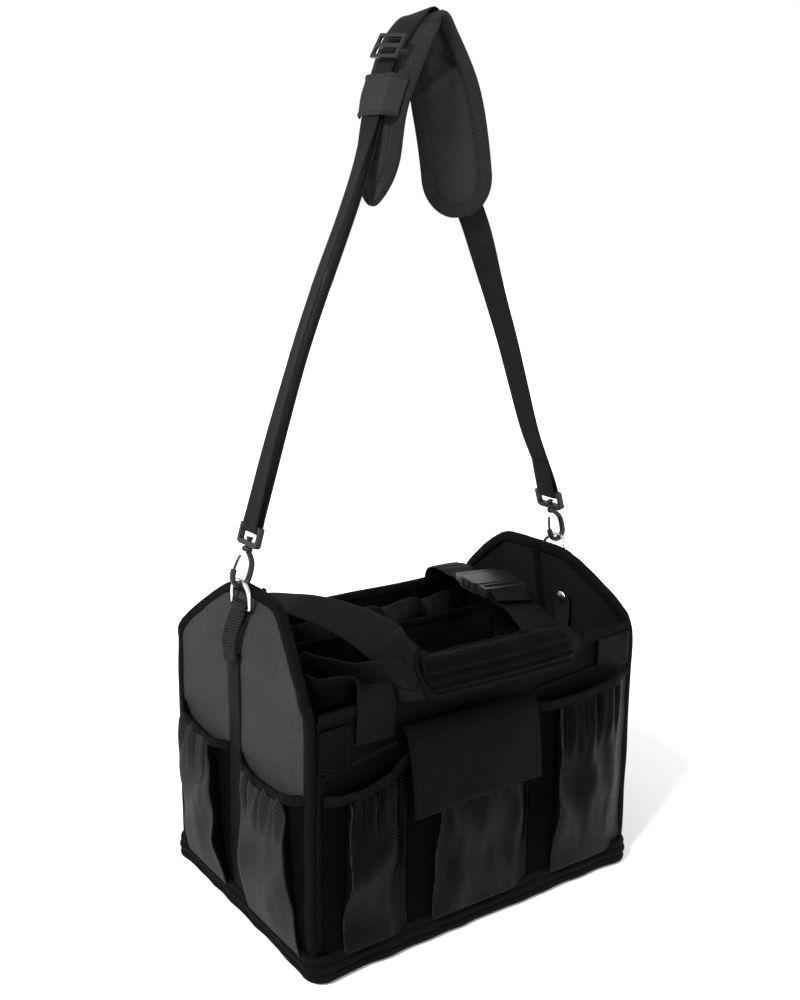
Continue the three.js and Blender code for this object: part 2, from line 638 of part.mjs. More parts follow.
function addStrap() {
  const out = outwardSign();
  const skin = out * PAD.lift;

  // The doubled left web: up one side from the slider's end, round the eye's bar and back up.
  const leftOuter = [[-56, 6, 652], [-110, 11, 492]];
  const left = [
    ...[0.37, 0.31, 0.25, 0.19].map((u) => overPad(u, skin + out * 2.4)),
    ...leftOuter.map(([x, y, z]) => [[x - RUN, y, z + 1], EDGE_ON]),
    [fromHook('left', -RUN, BAR_UP + 7), EDGE_ON], [fromHook('left', -RUN, BAR_UP - 1), EDGE_ON],
    [fromHook('left', 0, BAR_UP - LOOP), EDGE_ON], [fromHook('left', RUN, BAR_UP - 1), EDGE_ON],
    [fromHook('left', RUN, BAR_UP + 7), EDGE_ON],
    ...leftOuter.slice().reverse().map(([x, y, z]) => [[x + RUN, y, z - 1], EDGE_ON]),
    ...[0.19, 0.25, 0.3, 0.35].map((u) => overPad(u, skin)),
  ];
  add('left_strap_web', ribbon(left, STRAP_WEB, 72), 'black_webbing');

  // The right web: from the slider over the pad's crown, down to the eye and folded back.
  const right = [
    ...[0.385, 0.42, 0.46, 0.5, 0.54, 0.58, 0.65, 0.72, 0.8, 0.88].map((u) => overPad(u, skin)),
    [[82, -8, 590], [0.6, -0.8, 0]], [[111, -11, 501], [0.2, -0.98, 0]], [[140, -14, 410], EDGE_ON],
    [fromHook('right', RUN, BAR_UP + 7), EDGE_ON], [fromHook('right', RUN, BAR_UP - 1), EDGE_ON],
    [fromHook('right', 0, BAR_UP - LOOP), EDGE_ON], [fromHook('right', -RUN, BAR_UP - 1), EDGE_ON],
    [fromHook('right', -RUN, BAR_UP + 9), EDGE_ON], [fromHook('right', -RUN + 0.4, BAR_UP + 34), EDGE_ON],
  ];
  add('right_strap_web', ribbon(right, STRAP_WEB, 64), 'black_webbing');

  const padPath = route(PAD_ROUTE);
  const padFace = (lift) => (u, v) => {
    const end = Math.max(0, Math.abs(2 * u - 1) - 0.84) / 0.16;
    const half = PAD.width / 2 * Math.sqrt(Math.max(0.06, 1 - end * end));
    return beside(padPath(u), (2 * v - 1) * half, lift * (1 - 0.5 * Math.abs(2 * v - 1) ** 3));
  };
  add('shoulder_pad', shell(28, 6, padFace(PAD.thick / 2), padFace(-PAD.thick / 2)), 'charcoal_fabric');

  // Sleeves that hold the web to the pad, arched over it and open at both ends.
  const sleeve = (u0, u1, rise) => {
    const arch = (extra) => (u, v) => {
      const s = 2 * v - 1;
      const lift = PAD.thick / 4 + GAP + 0.6 + extra + rise * Math.min(1, (1 - Math.abs(s)) / 0.3);
      return beside(padPath(u0 + u * (u1 - u0)), s * (PAD.width / 2 - 3), out * lift);
    };
    return shell(6, 10, arch(1), arch(0));
  };
  add('left_pad_sleeve', sleeve(0.2, 0.285, 8), 'charcoal_fabric');
  add('right_pad_sleeve', sleeve(0.7, 0.81, 6), 'charcoal_fabric');

  addSlider(skin + out * 5.2);
}

const SLIDER = { width: 33, length: 22, thick: 2.4, slotLong: 27, slotWide: 6, seat: 0.34 };

// A flat three-bar slider lying on the outer web.
function addSlider(lift) {
  const { width, length, thick, slotLong, slotWide } = SLIDER;
  const plate = block(-width / 2, width / 2, -length / 2, length / 2, -thick / 2, thick / 2);
  const [halfLong, halfWide] = [slotLong / 2, slotWide / 2];
  const slot = (y) => block(-halfLong, halfLong, y - halfWide, y + halfWide, -thick, thick);
  const frame = route(PAD_ROUTE)(SLIDER.seat);
  const normal = frame.normal.multiplyScalar(outwardSign());
  const along = normal.clone().cross(frame.across);
  const place = new THREE.Matrix4().makeBasis(frame.across, along, normal);
  const centre = frame.point.addScaledVector(normal, Math.abs(lift));
  place.setPosition(centre);
  add('strap_slider', cut(plate, slot(-5), slot(5)).applyMatrix4(place), 'black_plastic');
}

// ---------------------------------------------------------------- handles and grip
// The direction of the width of the webs inside the grip.
const GRIP_UP = [0, Math.cos(rad(GRIP.tilt)), Math.sin(rad(GRIP.tilt))];
const GRIP_SPAN = { left: -77, right: 81 };

function gripPoint(x, across, off) {
  const [, cy, cz] = GRIP_UP;
  return [x, GRIP.y + across * cy - off * cz, GRIP.z + across * cz + off * cy];
}

function addHandles() {
  // The padded wrap is a flat tube; the handle webs run through it.
  const ring = (half, thick) => (u, v) => {
    const angle = v * 2 * Math.PI;
    const x = GRIP_SPAN.left + u * (GRIP_SPAN.right - GRIP_SPAN.left);
    return vec(...gripPoint(x, half * Math.cos(angle), thick * Math.sin(angle)));
  };
  const wrap = shell(6, 16, ring(GRIP.half, GRIP.thick), ring(GRIP.half - 3, 4.6), true);
  add('handle_wrap', wrap, 'black_fabric');
  const core = (lift) => (u, v) => {
    const x = GRIP_SPAN.left + 2 + u * (GRIP_SPAN.right - GRIP_SPAN.left - 4);
    return vec(...gripPoint(x, (v - 0.5) * 24, lift));
  };
  add('handle_core_web', shell(2, 2, core(1.6), core(-1.6)), 'black_webbing');

  const front = FACE_Y - BIND_LIP - 3 * GAP - WEB_T / 2;
  const frontLeft = [
    [[-115, front, 199], ALONG_X], [[-115, front, 220], ALONG_X], [[-115, front - 0.2, 238], ALONG_X],
    [[-116, front + 5, 249], ALONG_X], [[-121, front + 25, 251], [0.95, 0.2, -0.2]],
    [[-132, -84, 247], [0.7, 0.3, -0.6]], [[-138, -62, 241], [0.3, 0, -0.95]],
    [[-135, -44, 240], [0, 0, -1]], [[-124, -38, 240], [0, -0.1, -1]], [[-114, -50, 240], [0, -0.2, -1]],
    [[-109, -80, 252], [0, -0.1, -1]], [[-106, -104, 257], [0, 0, -1]],
    [[-100, -118, 258], [0, 0, -1]], [[GRIP_SPAN.left - 15, -127, 256.5], [0, -0.1, -1]],
  ];
  add('front_left_handle_web', ribbon(frontLeft, HANDLE_WEB, 40), 'black_webbing');

  const back = -front;
  const backLeft = [
    [[-127, back, 199], ALONG_X], [[-127, back, 220], ALONG_X], [[-127, back, 239], ALONG_X],
    [[-125, back - 6, 252], ALONG_X], [[-114, 98, 262], [0.98, 0.1, 0]],
    [[-92, 50, 269], [0.95, 0.25, 0.1]], [[-80, 5, 273], [0.95, 0.3, 0.2]],
    [[-75, -45, 273], [0.9, 0.35, 0.3]], [[-74, -80, 271], [0.8, 0.45, 0.4]],
    [[-74, -102, 267], [0.75, 0.5, 0.4]],
  ];
  add('back_left_handle_web', ribbon(backLeft, HANDLE_WEB, 36), 'black_webbing');

  const inside = FACE_Y + PANEL_T + BIND_LIP + 3 * GAP + WEB_T / 2;
  const frontRight = [
    [[GRIP_SPAN.right + 6, -133, 249], [0.05, 0.4, 0.9]], [[97, -138, 252], [-0.1, 0.2, 0.98]],
    [[108, -140, 257], [-0.3, 0.1, 0.95]], [[117, -137, 262], [-0.6, 0.05, 0.8]],
    [[122, -129, 262], [-0.85, 0, 0.5]], [[124, inside - 3, 256], [-1, 0, 0.1]],
    [[124, inside, 246], [-1, 0, 0]], [[124, inside + 0.2, 234], [-1, 0, 0]],
    [[124, inside, 216], [-1, 0, 0]], [[124, inside, 200], [-1, 0, 0]],
  ];
  add('front_right_handle_web', ribbon(frontRight, HANDLE_WEB, 24), 'black_webbing');
}

// ---------------------------------------------------------------- side-release buckle
const SOCKET = { wide: 50, long: 34, thick: 11, wall: 3 };
const ARM_SWING = 10.3;      // degrees the plug's arms spring in as it is drawn out

function toBuckle(x, y, z) {
  return vec(x, y, z).applyAxisAngle(Z, BUCKLE.turn).add(vec(BUCKLE.x, BUCKLE.y, BUCKLE.z)).toArray();
}

function addBuckle() {
  const group = new THREE.Group();
  group.position.set(BUCKLE.x, BUCKLE.y, BUCKLE.z);
  group.rotation.z = BUCKLE.turn;
  caddy.add(group);

  const { wide, long, thick, wall } = SOCKET;
  const half = wide / 2;
  const inner = half - wall;
  const shape = outline([[-half + 3, 0], [half - 3, 0], [half, 4], [half, long - 4], [half - 3, long + 13],
    [-half + 3, long + 13], [-half, long - 4], [-half, 4]]);
  const body = prism(shape, thick).translate(0, 0, -thick / 2);
  const socket = cut(body, block(-inner, inner, -1, long - 3, -3.4, 3.4),
    block(-half - 1, -inner + 1, 9, 26, -3.4, 3.4), block(inner - 1, half + 1, 9, 26, -3.4, 3.4),
    block(-HANDLE_WEB / 2 - 0.8, HANDLE_WEB / 2 + 0.8, long + 1, long + 8, -thick, thick),
    block(-half - 1, half + 1, long, long + 14, 3.2, thick),
    block(-half - 1, half + 1, long, long + 14, -thick, -3.2));
  add('buckle_socket', socket, 'black_plastic', group);

  const yoke = cut(block(-23, 23, -17, -GAP, -4.6, 4.6),
    block(-HANDLE_WEB / 2 - 0.8, HANDLE_WEB / 2 + 0.8, -12, -5, -5, 5));
  add('buckle_plug', join(yoke, block(-3, 3, -1, 24, -2, 2)), 'black_plastic', group);

  const arm = outline([[9, GAP], [14, GAP], [21.3, 10], [24.3, 17.5], [24.3, 23.5], [20, 27], [17.5, 25],
    [17, 13]]);
  for (const [name, sign] of [['left', -1], ['right', 1]]) {
    const piece = prism(arm, 5).translate(0, 0, -2.5).scale(sign, 1, 1);
    add(`buckle_${name}_arm`, piece, 'black_plastic', group);
  }

  // The web from the plug down into the front, and the one from the socket over the back rim.
  const flat = vec(1, 0, 0).applyAxisAngle(Z, BUCKLE.turn).toArray();
  const inside = FACE_Y + PANEL_T + BIND_LIP + 3 * GAP + WEB_T / 2;
  const toFront = [
    [toBuckle(0, -8, -6), flat], [toBuckle(0, -15, -6), flat], [toBuckle(0, -24, -6), flat],
    [toBuckle(0, -50, -6.5), flat],
    [[84, -90, 250], [0.98, -0.12, 0]], [[74, inside + 5, 243], ALONG_X],
    [[71, inside + 2.5, 226], ALONG_X], [[71, inside + 2.5, 204], ALONG_X],
  ];
  add('back_right_handle_web', ribbon(toFront, HANDLE_WEB, 28), 'black_webbing');
  const back = -FACE_Y + BIND_LIP + 3 * GAP + WEB_T / 2;
  const toBack = [
    [toBuckle(0, SOCKET.long + 5, -4.8), flat], [toBuckle(0, SOCKET.long + 12, -4.8), flat],
    [toBuckle(0, SOCKET.long + 24, -5.4), flat], [[133, back - 22, 250], [0.99, -0.08, 0]],
    [[135, back - 4, 245], ALONG_X], [[135, back, 236], ALONG_X], [[135, back, 200], ALONG_X],
  ];
  add('buckle_anchor_web', ribbon(toBack, HANDLE_WEB, 28), 'black_webbing');
}

// ---------------------------------------------------------------- inside
const DIVIDER_Y = 72;

function addInside() {
  const reach = END_X - PANEL_T - lean('right', 60) - 1;
  const span = (z) => END_X - PANEL_T - 1 - lean('right', z);
  const face = (y) => (u, v) => {
    const z = BOARD_T + PANEL_FOOT + 1 + v * 206;
    return vec((2 * u - 1) * span(z), y, z);
  };
  add('long_divider', shell(1, 2, face(DIVIDER_Y - 1.5), face(DIVIDER_Y + 1.5)), 'black_fabric');
  const cross = block(60, 62.5, DIVIDER_Y + 1.5 + GAP, DEPTH / 2 - PANEL_T - 1, 8, 196);
  add('cross_divider', cross, 'black_fabric');

  // An elastic band along the back panel's inside, sewn down between the tool loops.
  const loops = 5;
  const wave = (extra) => (u, v) => {
    const off = 0.5 + extra + 13 * Math.abs(Math.sin(loops * Math.PI * u));
    return vec(-reach + 40 + u * 165, DEPTH / 2 - PANEL_T - off, 166 + v * 36);
  };
  add('tool_loop_band', shell(loops * 8, 1, wave(1.4), wave(0)), 'black_webbing');

  const tab = block(END_X - PANEL_T - 2.2, END_X - PANEL_T - GAP, -48, -28, 150, 226);
  add('snap_strap', atEnd(tab, 'right'), 'black_webbing');
}

addBase();
addPanels();
addPockets();
addFlaps();
addEndHardware();
addHooks();
addStrap();
addHandles();
addBuckle();
addInside();

export default caddy;
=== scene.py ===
"""Tool storage caddy: an open fabric tote with pockets on every side, a padded carry grip, a
side-release buckle in one handle web and a clip-on shoulder strap.

Shapes are worked out in millimetres in the caddy's own frame and stored in metres. The rear is
built like the front, and the left end like the right end, turned half a turn about Z. Only the
front rim sags at its left and stands up at its right, and only the front left corner has slumped."""
import math
import bpy
from mathutils import Matrix, Vector, noise


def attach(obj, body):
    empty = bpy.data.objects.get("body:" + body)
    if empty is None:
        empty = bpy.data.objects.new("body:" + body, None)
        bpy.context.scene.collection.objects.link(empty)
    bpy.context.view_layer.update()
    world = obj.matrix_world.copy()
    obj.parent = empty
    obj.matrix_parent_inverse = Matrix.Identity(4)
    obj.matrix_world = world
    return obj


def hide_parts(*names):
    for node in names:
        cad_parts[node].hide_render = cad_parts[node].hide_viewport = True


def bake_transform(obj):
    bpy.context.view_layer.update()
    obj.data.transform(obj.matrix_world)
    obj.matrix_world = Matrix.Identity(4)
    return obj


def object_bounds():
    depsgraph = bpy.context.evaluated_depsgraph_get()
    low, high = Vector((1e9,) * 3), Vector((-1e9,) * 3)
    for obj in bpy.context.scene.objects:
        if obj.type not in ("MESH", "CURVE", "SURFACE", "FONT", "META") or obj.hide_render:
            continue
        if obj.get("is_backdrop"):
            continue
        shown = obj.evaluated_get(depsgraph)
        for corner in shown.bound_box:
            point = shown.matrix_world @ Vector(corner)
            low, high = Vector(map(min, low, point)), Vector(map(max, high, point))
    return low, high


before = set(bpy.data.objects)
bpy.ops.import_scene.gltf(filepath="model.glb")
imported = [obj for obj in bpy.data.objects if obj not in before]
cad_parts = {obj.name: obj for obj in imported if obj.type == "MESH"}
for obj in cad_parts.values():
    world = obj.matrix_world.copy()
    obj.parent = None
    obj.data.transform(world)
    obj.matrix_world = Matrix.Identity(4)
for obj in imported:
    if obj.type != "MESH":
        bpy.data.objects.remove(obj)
CAD_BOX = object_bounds()
MM = 0.001

# ------------------------------------------------------------------ driving dimensions, in mm
END_X = 175.0                  # outer face of an end panel at the floor
FACE_Y = -125.0                # outer face of the front panel
RIM_Z = 236.0
PEAK_Z = 302.0
HALF_PEAK = 45.0               # half the length of an end panel's level top edge
NEAR_PEAK = {"left": 29.0, "right": 45.0}    # the same on the front side
SHOULDER_Y = 119.5             # where an end panel's tape turns the corner
SLUMP = (-3.5, 4.0, 0.0)       # how far the soft front left corner has moved at mid height
SHOULDER_LEAN = {"left": 1.0, "right": 2.5}
RIM_SAG = {"left": -6.0, "right": 12.0}    # how far the soft front rim stands off RIM_Z at each corner
PEAK_LEAN = {"left": 22.0, "right": 15.0}
TRAY_CORNER = 12.0
SKIRT_GAP = 0.3                # between the tray's walls and its covering
PANEL_FOOT = 3.0               # lower edge of the panels, inside the tray
EDGE_DROP = 2.6                # how far an end tape's middle lies under the panel's edge
PEAK_DROP = 7.4                # the same along the level top edge, clear of the swinging hooks
POCKET_FOOT = 21.0
STRIP_Y = -5.0                 # the right end's centre web
STRIP_W = 22.0
END_WEB = (20.0, 246.0)        # heights between which it is sewn
STRAP_WEB = 25.0
HANDLE_WEB = 38.0
WEB_T = 1.7
RING_Y = 16.0
RING_BAR_Z = 283.0
RING_WIRE = 2.0
RING_R = 16.0
RING_SIDE = 8.0
RING_X = {"left": 163.0, "right": 168.0}
RING_TILT = {"left": 4.0, "right": 12.0}
HOOK_TILT = {"left": 16.0, "right": 18.0}
EYE_BAR = 47.0                 # the eye's upper bar, above the ring's crown
PAD_HALF = 25.0                # from the pad's middle to the middle of its binding
PAD_BINDING = 12.5
PAD_THICK = 9.0
PAD_LIFT = 7.4                 # the web's height over the pad's middle
GRIP_Y = -131.5
GRIP_Z = 245.5
GRIP_TILT = math.radians(47)
GRIP_SPAN = (-77.0, 81.0)
GRIP_HALF = 18.0               # half the grip's width
GRIP_THICK = 20.0
BUCKLE = (111.0, 0.0, 258.0)
BUCKLE_TURN = -0.191
SOCKET_LONG = 34.0
FLAP_SPAN = (-92.0, 48.0)      # from a flap's left edge to its right
FLAP_TOP = 207.0               # where a flap is sewn to its panel
DIVIDER_Y = 72.0
DIVIDER_TALL = 204.0
LOOPS = 5
LOOP_FROM = -103.0             # where the elastic loops start, along the rear panel
LOOP_RUN = 258.0               # the length they span
LOOP_FOOT = 190.0              # lower edge of the elastic loops

CAMERA_AT = (-0.6135, -0.8460, 0.6044)
CAMERA_TURN = (-35.56, -13.19, 0.733)    # azimuth, elevation and roll, in degrees
CAMERA_LENS = 42.22

ENDS = ("left", "right")
FACES = ("front", "back")
TURN = {"right": 1, "front": 1, "left": -1, "back": -1}    # -1 is half a turn about Z
ALONG_X = (1, 0, 0)
ALONG_Y = (0, 1, 0)


# ------------------------------------------------------------------ numbers and curves
def clamp(t):
    return min(max(t, 0.0), 1.0)


def smooth(t):
    t = clamp(t)
    return t * t * (3 - 2 * t)


def bell(x, width):
    return math.exp(-(x / width) ** 2)


def ripple(point, size, amount):
    """Gentle folds: a smooth noise of the given size, in mm."""
    return amount * noise.noise(Vector(point) / size)


def lean(side, z):
    """How far an end panel has leaned in at height z."""
    shoulder = SHOULDER_LEAN[side]
    if z <= RIM_Z:
        return shoulder * z / RIM_Z
    return shoulder + (PEAK_LEAN[side] - shoulder) * (z - RIM_Z) / (PEAK_Z - RIM_Z)


def rim_height(face, x):
    """Height of a long panel's top edge. The front one sags at its left and stands up at its right."""
    if face == "back":
        return RIM_Z
    share = clamp(0.5 + x / (2 * END_X))
    return RIM_Z + RIM_SAG["left"] * (1 - share) + RIM_SAG["right"] * share


def slumped(p):
    """A point of the soft bag, moved by its share of the front left corner's slump."""
    share = clamp((END_X - p.x) / (2 * END_X)) * clamp(0.5 + p.y / (2 * FACE_Y))
    share *= smooth(p.z / 50) * clamp((300 - p.z) / 45)
    return p + Vector(SLUMP) * share


def between(p, t, centripetal=True):
    """A point between p[1] and p[2] on the Catmull-Rom curve through four points."""
    gaps = [max(math.sqrt((b - a).length), 1e-3) if centripetal else 1.0 for a, b in zip(p, p[1:])]
    g0, g1, g2 = gaps
    start = ((p[1] - p[0]) / g0 - (p[2] - p[0]) / (g0 + g1) + (p[2] - p[1]) / g1) * g1
    end = ((p[2] - p[1]) / g1 - (p[3] - p[1]) / (g1 + g2) + (p[3] - p[2]) / g2) * g1
    t2 = t * t
    t3 = t2 * t
    return (p[1] * (2 * t3 - 3 * t2 + 1) + start * (t3 - 2 * t2 + t)
            + p[2] * (3 * t2 - 2 * t3) + end * (t3 - t2))


def curve_points(points, per, centripetal=True):
    """A smooth line through points, with per steps from each to the next."""
    p = [Vector(q) for q in points]
    p = [p[0] * 2 - p[1]] + p + [p[-1] * 2 - p[-2]]
    line = [between(p[i:i + 4], k / per, centripetal) for i in range(len(p) - 3) for k in range(per)]
    return line + [p[-2].copy()]


class Route:
    """A path for flat goods, through stations of (point, direction of the width)."""

    def __init__(self, stations, per=14):
        self.line = curve_points([p for p, _ in stations], per)
        self.wide = curve_points([w for _, w in stations], per, False)
        self.at = [0.0]
        for a, b in zip(self.line, self.line[1:]):
            self.at.append(self.at[-1] + (b - a).length)
        self.length = self.at[-1]

    def frame(self, u):
        """The point, width and normal at share u of the length."""
        s = clamp(u) * self.length
        i = 0
        while i < len(self.at) - 2 and self.at[i + 1] < s:
            i += 1
        t = (s - self.at[i]) / max(self.at[i + 1] - self.at[i], 1e-9)
        lo = max(i - 1, 0)
        hi = min(i + 2, len(self.line) - 1)
        first = (self.line[i + 1] - self.line[lo]).normalized()
        second = (self.line[hi] - self.line[i]).normalized()
        along = first.lerp(second, t).normalized()
        wide = self.wide[i].lerp(self.wide[i + 1], t)
        wide = (wide - along * wide.dot(along)).normalized()
        return self.line[i].lerp(self.line[i + 1], t), wide, along.cross(wide).normalized()

    def beside(self, u, side, lift):
        point, wide, normal = self.frame(u)
        return point + wide * side + normal * lift


# ------------------------------------------------------------------ meshes
def new_object(name, points, faces, corners, material, thick=0.0, level=1):
    """A smooth mesh of points in metres. corners holds the flat place of each face's corners, in metres."""
    mesh = bpy.data.meshes.new(name)
    mesh.from_pydata(points, [], faces)
    if corners:
        layer = mesh.uv_layers.new(name="UVMap")
        layer.data.foreach_set("uv", [c for pair in corners for c in pair])
    obj = bpy.data.objects.new(name, mesh)
    bpy.context.scene.collection.objects.link(obj)
    mesh.materials.append(material)
    for polygon in mesh.polygons:
        polygon.use_smooth = True
    if thick:
        shell = obj.modifiers.new("thickness", "SOLIDIFY")
        shell.thickness = thick * MM
        shell.offset = 0
        shell.use_rim = True
    if level:
        finer = obj.modifiers.new("smoother", "SUBSURF")
        finer.levels = level
        finer.render_levels = level
    return obj


def grid(name, steps, place, flat, material, thick=0.0, around=False, caps=False):
    """A patch of steps = (nu, nv) cells. place(u, v) gives mm. flat is the patch's width and length in mm,
    or a function that gives the flat place of (u, v)."""
    nu, nv = steps
    spot = flat if callable(flat) else (lambda u, v: (u * flat[0], v * flat[1]))
    columns = nv if around else nv + 1
    points = [slumped(place(i / nu, j / nv)) * MM for i in range(nu + 1) for j in range(columns)]
    faces = []
    corners = []
    for i in range(nu):
        for j in range(nv):
            cell = ((i, j), (i + 1, j), (i + 1, j + 1), (i, j + 1))
            faces.append([a * columns + b % columns for a, b in cell])
            corners.extend([c * MM for c in spot(a / nu, b / nv)] for a, b in cell)
    if caps:
        faces.append(list(range(columns)))
        faces.append([nu * columns + j for j in reversed(range(columns))])
        corners.extend([c * MM for c in spot(0.0, j / nv)] for j in range(columns))
        corners.extend([c * MM for c in spot(1.0, j / nv)] for j in reversed(range(columns)))
    return new_object(name, points, faces, corners, material, thick)


def ribbon(name, stations, width, material, steps=120, thick=WEB_T, shape=None, narrow=None):
    """Flat webbing along a route. shape(u, v) lifts it, in mm. narrow(u) is the share it is bunched to."""
    path = Route(stations)
    lift = shape or (lambda u, v: 0.0)
    share = narrow or (lambda u: 1.0)
    return grid(name, (steps, 4), lambda u, v: path.beside(u, (v - 0.5) * width * share(u), lift(u, v)),
                (path.length, width), material, thick)


def oval(a, b, n=14, power=2.6):
    """Points of a rounded section, half a wide and half b high."""
    points = []
    for k in range(n):
        angle = 2 * math.pi * k / n
        c = math.cos(angle)
        s = math.sin(angle)
        points.append((a / 2 * math.copysign(abs(c) ** (2 / power), c),
                       b / 2 * math.copysign(abs(s) ** (2 / power), s)))
    return points


def sweep(name, line, wide, section, material, closed=False):
    """A solid of the given section along line. wide gives the section's first axis at each point."""
    n = len(line)
    count = n if closed else n - 1
    m = len(section)
    rows = []
    distance = [0.0]
    for i in range(n):
        before = line[(i - 1) % n] if closed or i else line[0]
        after = line[(i + 1) % n] if closed or i < n - 1 else line[-1]
        along = (after - before).normalized()
        first = Vector(wide[i])
        first = (first - along * first.dot(along)).normalized()
        second = along.cross(first)
        rows.append([line[i] + first * a + second * b for a, b in section])
        distance.append(distance[-1] + (line[(i + 1) % n] - line[i]).length)
    girth = sum(math.dist(section[k - 1], section[k]) for k in range(m))
    points = [slumped(p) * MM for row in rows for p in row]
    faces = []
    corners = []
    for i in range(count):
        for j in range(m):
            for a, b in ((i, j), (i, j + 1), (i + 1, j + 1), (i + 1, j)):
                corners.append((distance[a] * MM, b / m * girth * MM))
            here = i * m
            there = (i + 1) % n * m
            faces.append([here + j, here + (j + 1) % m, there + (j + 1) % m, there + j])
    if not closed:
        for row, step in ((0, -1), (n - 1, 1)):
            order = range(m)[::step]
            faces.append([row * m + j for j in order])
            corners.extend((distance[row] * MM, j / m * girth * MM) for j in order)
    return new_object(name, points, faces, corners, material)


def stitches(name, lines, pitch=3.4, long=2.3, thin=0.75):
    """Short raised stitches of thread. Each line is a list of (point, normal), in mm."""
    points = []
    faces = []
    for line in lines:
        left = pitch / 2
        for (a, na), (b, nb) in zip(line, line[1:]):
            span = (b - a).length
            if span < 1e-6:
                continue
            along = (b - a) / span
            while left < span:
                normal = na.lerp(nb, left / span).normalized()
                side = along.cross(normal).normalized()
                centre = slumped(a + along * left + normal * 0.1)
                k = len(points)
                ends = (along * long / 2, side * thin / 2, -along * long / 2, -side * thin / 2)
                points += [(centre + e) * MM for e in ends]
                points += [(centre + normal * thin * 0.6) * MM, (centre - normal * thin * 0.6) * MM]
                for i in range(4):
                    faces.append((k + i, k + (i + 1) % 4, k + 4))
                    faces.append((k + (i + 1) % 4, k + i, k + 5))
                left += pitch
            left -= span
    return new_object(name, points, faces, [], THREAD, level=0)


def settle(obj, body, slot, *nodes):
    """Ties a finished piece to its body and hides the CAD nodes it stands for. slot, its material slot, is
    not used.
    """
    if nodes:
        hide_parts(*nodes)
    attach(obj, body)
    return obj


# ------------------------------------------------------------------ materials
class Nodes:
    """A short way to build one material's nodes."""

    def __init__(self, name, colour, roughness, metallic=0.0, sheen=0.0, specular=0.03):
        self.material = bpy.data.materials.new(name)
        self.material.use_nodes = True
        self.tree = self.material.node_tree
        self.shader = self.tree.nodes["Principled BSDF"]
        self.colour = colour
        values = {"Base Color": (*colour, 1), "Roughness": roughness, "Metallic": metallic,
                  "Sheen Weight": sheen, "Sheen Roughness": 0.4, "Specular IOR Level": specular}
        for key, value in values.items():
            self.shader.inputs[key].default_value = value

    def link(self, value, socket):
        if isinstance(value, bpy.types.NodeSocket):
            self.tree.links.new(value, socket)
        else:
            socket.default_value = value

    def math(self, kind, a, b=0.0, c=0.0):
        node = self.tree.nodes.new("ShaderNodeMath")
        node.operation = kind
        for value, socket in zip((a, b, c), node.inputs):
            self.link(value, socket)
        return node.outputs[0]

    def coordinates(self, flat=True):
        """The piece's flat coordinates, or its place in the caddy's frame, in mm."""
        if flat:
            source = self.tree.nodes.new("ShaderNodeUVMap")
            source.uv_map = "UVMap"
            out = source.outputs["UV"]
        else:
            out = self.tree.nodes.new("ShaderNodeTexCoord").outputs["Object"]
        scale = self.tree.nodes.new("ShaderNodeVectorMath")
        scale.operation = "SCALE"
        scale.inputs["Scale"].default_value = 1000
        self.link(out, scale.inputs[0])
        self.place = scale.outputs[0]
        parts = self.tree.nodes.new("ShaderNodeSeparateXYZ")
        self.link(self.place, parts.inputs[0])
        self.u, self.v, self.w = parts.outputs
        return self

    def wave(self, across, along, period):
        """A sine over the direction (across, along), between -1 and 1."""
        u = self.math("MULTIPLY", self.u, across * 2 * math.pi / period)
        phase = self.math("MULTIPLY_ADD", self.v, along * 2 * math.pi / period, u)
        return self.math("SINE", phase)

    def noise(self, size, detail=3.0, roughness=0.5):
        node = self.tree.nodes.new("ShaderNodeTexNoise")
        node.inputs["Scale"].default_value = 1 / size
        node.inputs["Detail"].default_value = detail
        node.inputs["Roughness"].default_value = roughness
        self.link(self.place, node.inputs["Vector"])
        return node.outputs["Fac"]

    def bump(self, height, distance, strength=1.0):
        node = self.tree.nodes.new("ShaderNodeBump")
        node.inputs["Strength"].default_value = strength
        node.inputs["Distance"].default_value = distance * MM
        self.link(height, node.inputs["Height"])
        self.link(node.outputs[0], self.shader.inputs["Normal"])

    def tint(self, amount, light):
        """Mixes the base colour towards a lighter one by amount, a socket from 0 to 1."""
        node = self.tree.nodes.new("ShaderNodeMix")
        node.data_type = "RGBA"
        self.link(amount, node.inputs["Factor"])
        node.inputs[6].default_value = (*self.colour, 1)
        node.inputs[7].default_value = (*light, 1)
        self.link(node.outputs[2], self.shader.inputs["Base Color"])

    def rough(self, value, low, high):
        """Roughness between low and high, by value, a socket from 0 to 1."""
        node = self.tree.nodes.new("ShaderNodeMapRange")
        self.link(value, node.inputs["Value"])
        for key, limit in (("From Min", 0.0), ("From Max", 1.0), ("To Min", low), ("To Max", high)):
            node.inputs[key].default_value = limit
        self.link(node.outputs[0], self.shader.inputs["Roughness"])


def grey(value, warm=0.0):
    return (value * (1 + warm), value, value * (1 - warm))


def cloth(name, value, light, roughness, sheen, period, relief, cool=0.03, gloss=0.03):
    """Woven polyester: diagonal twill lines, a finer thread, and slow variation in tone and gloss."""
    n = Nodes(name, grey(value, -cool), roughness, sheen=sheen, specular=gloss).coordinates()
    twill = n.wave(0.72, 0.69, period)
    thread = n.wave(0.69, -0.72, period * 0.62)
    weave = n.math("MULTIPLY_ADD", thread, 0.45, twill)
    worn = n.noise(34.0, 4.0, 0.6)
    raised = n.math("MULTIPLY_ADD", weave, 0.28, worn)
    n.tint(n.math("MULTIPLY_ADD", raised, 0.6, 0.2), grey(light, -cool))
    n.rough(worn, roughness - 0.12, roughness + 0.12)
    creases = n.noise(9.0, 3.0, 0.55)
    n.bump(n.math("MULTIPLY_ADD", creases, 1.6, weave), relief)
    return n.material


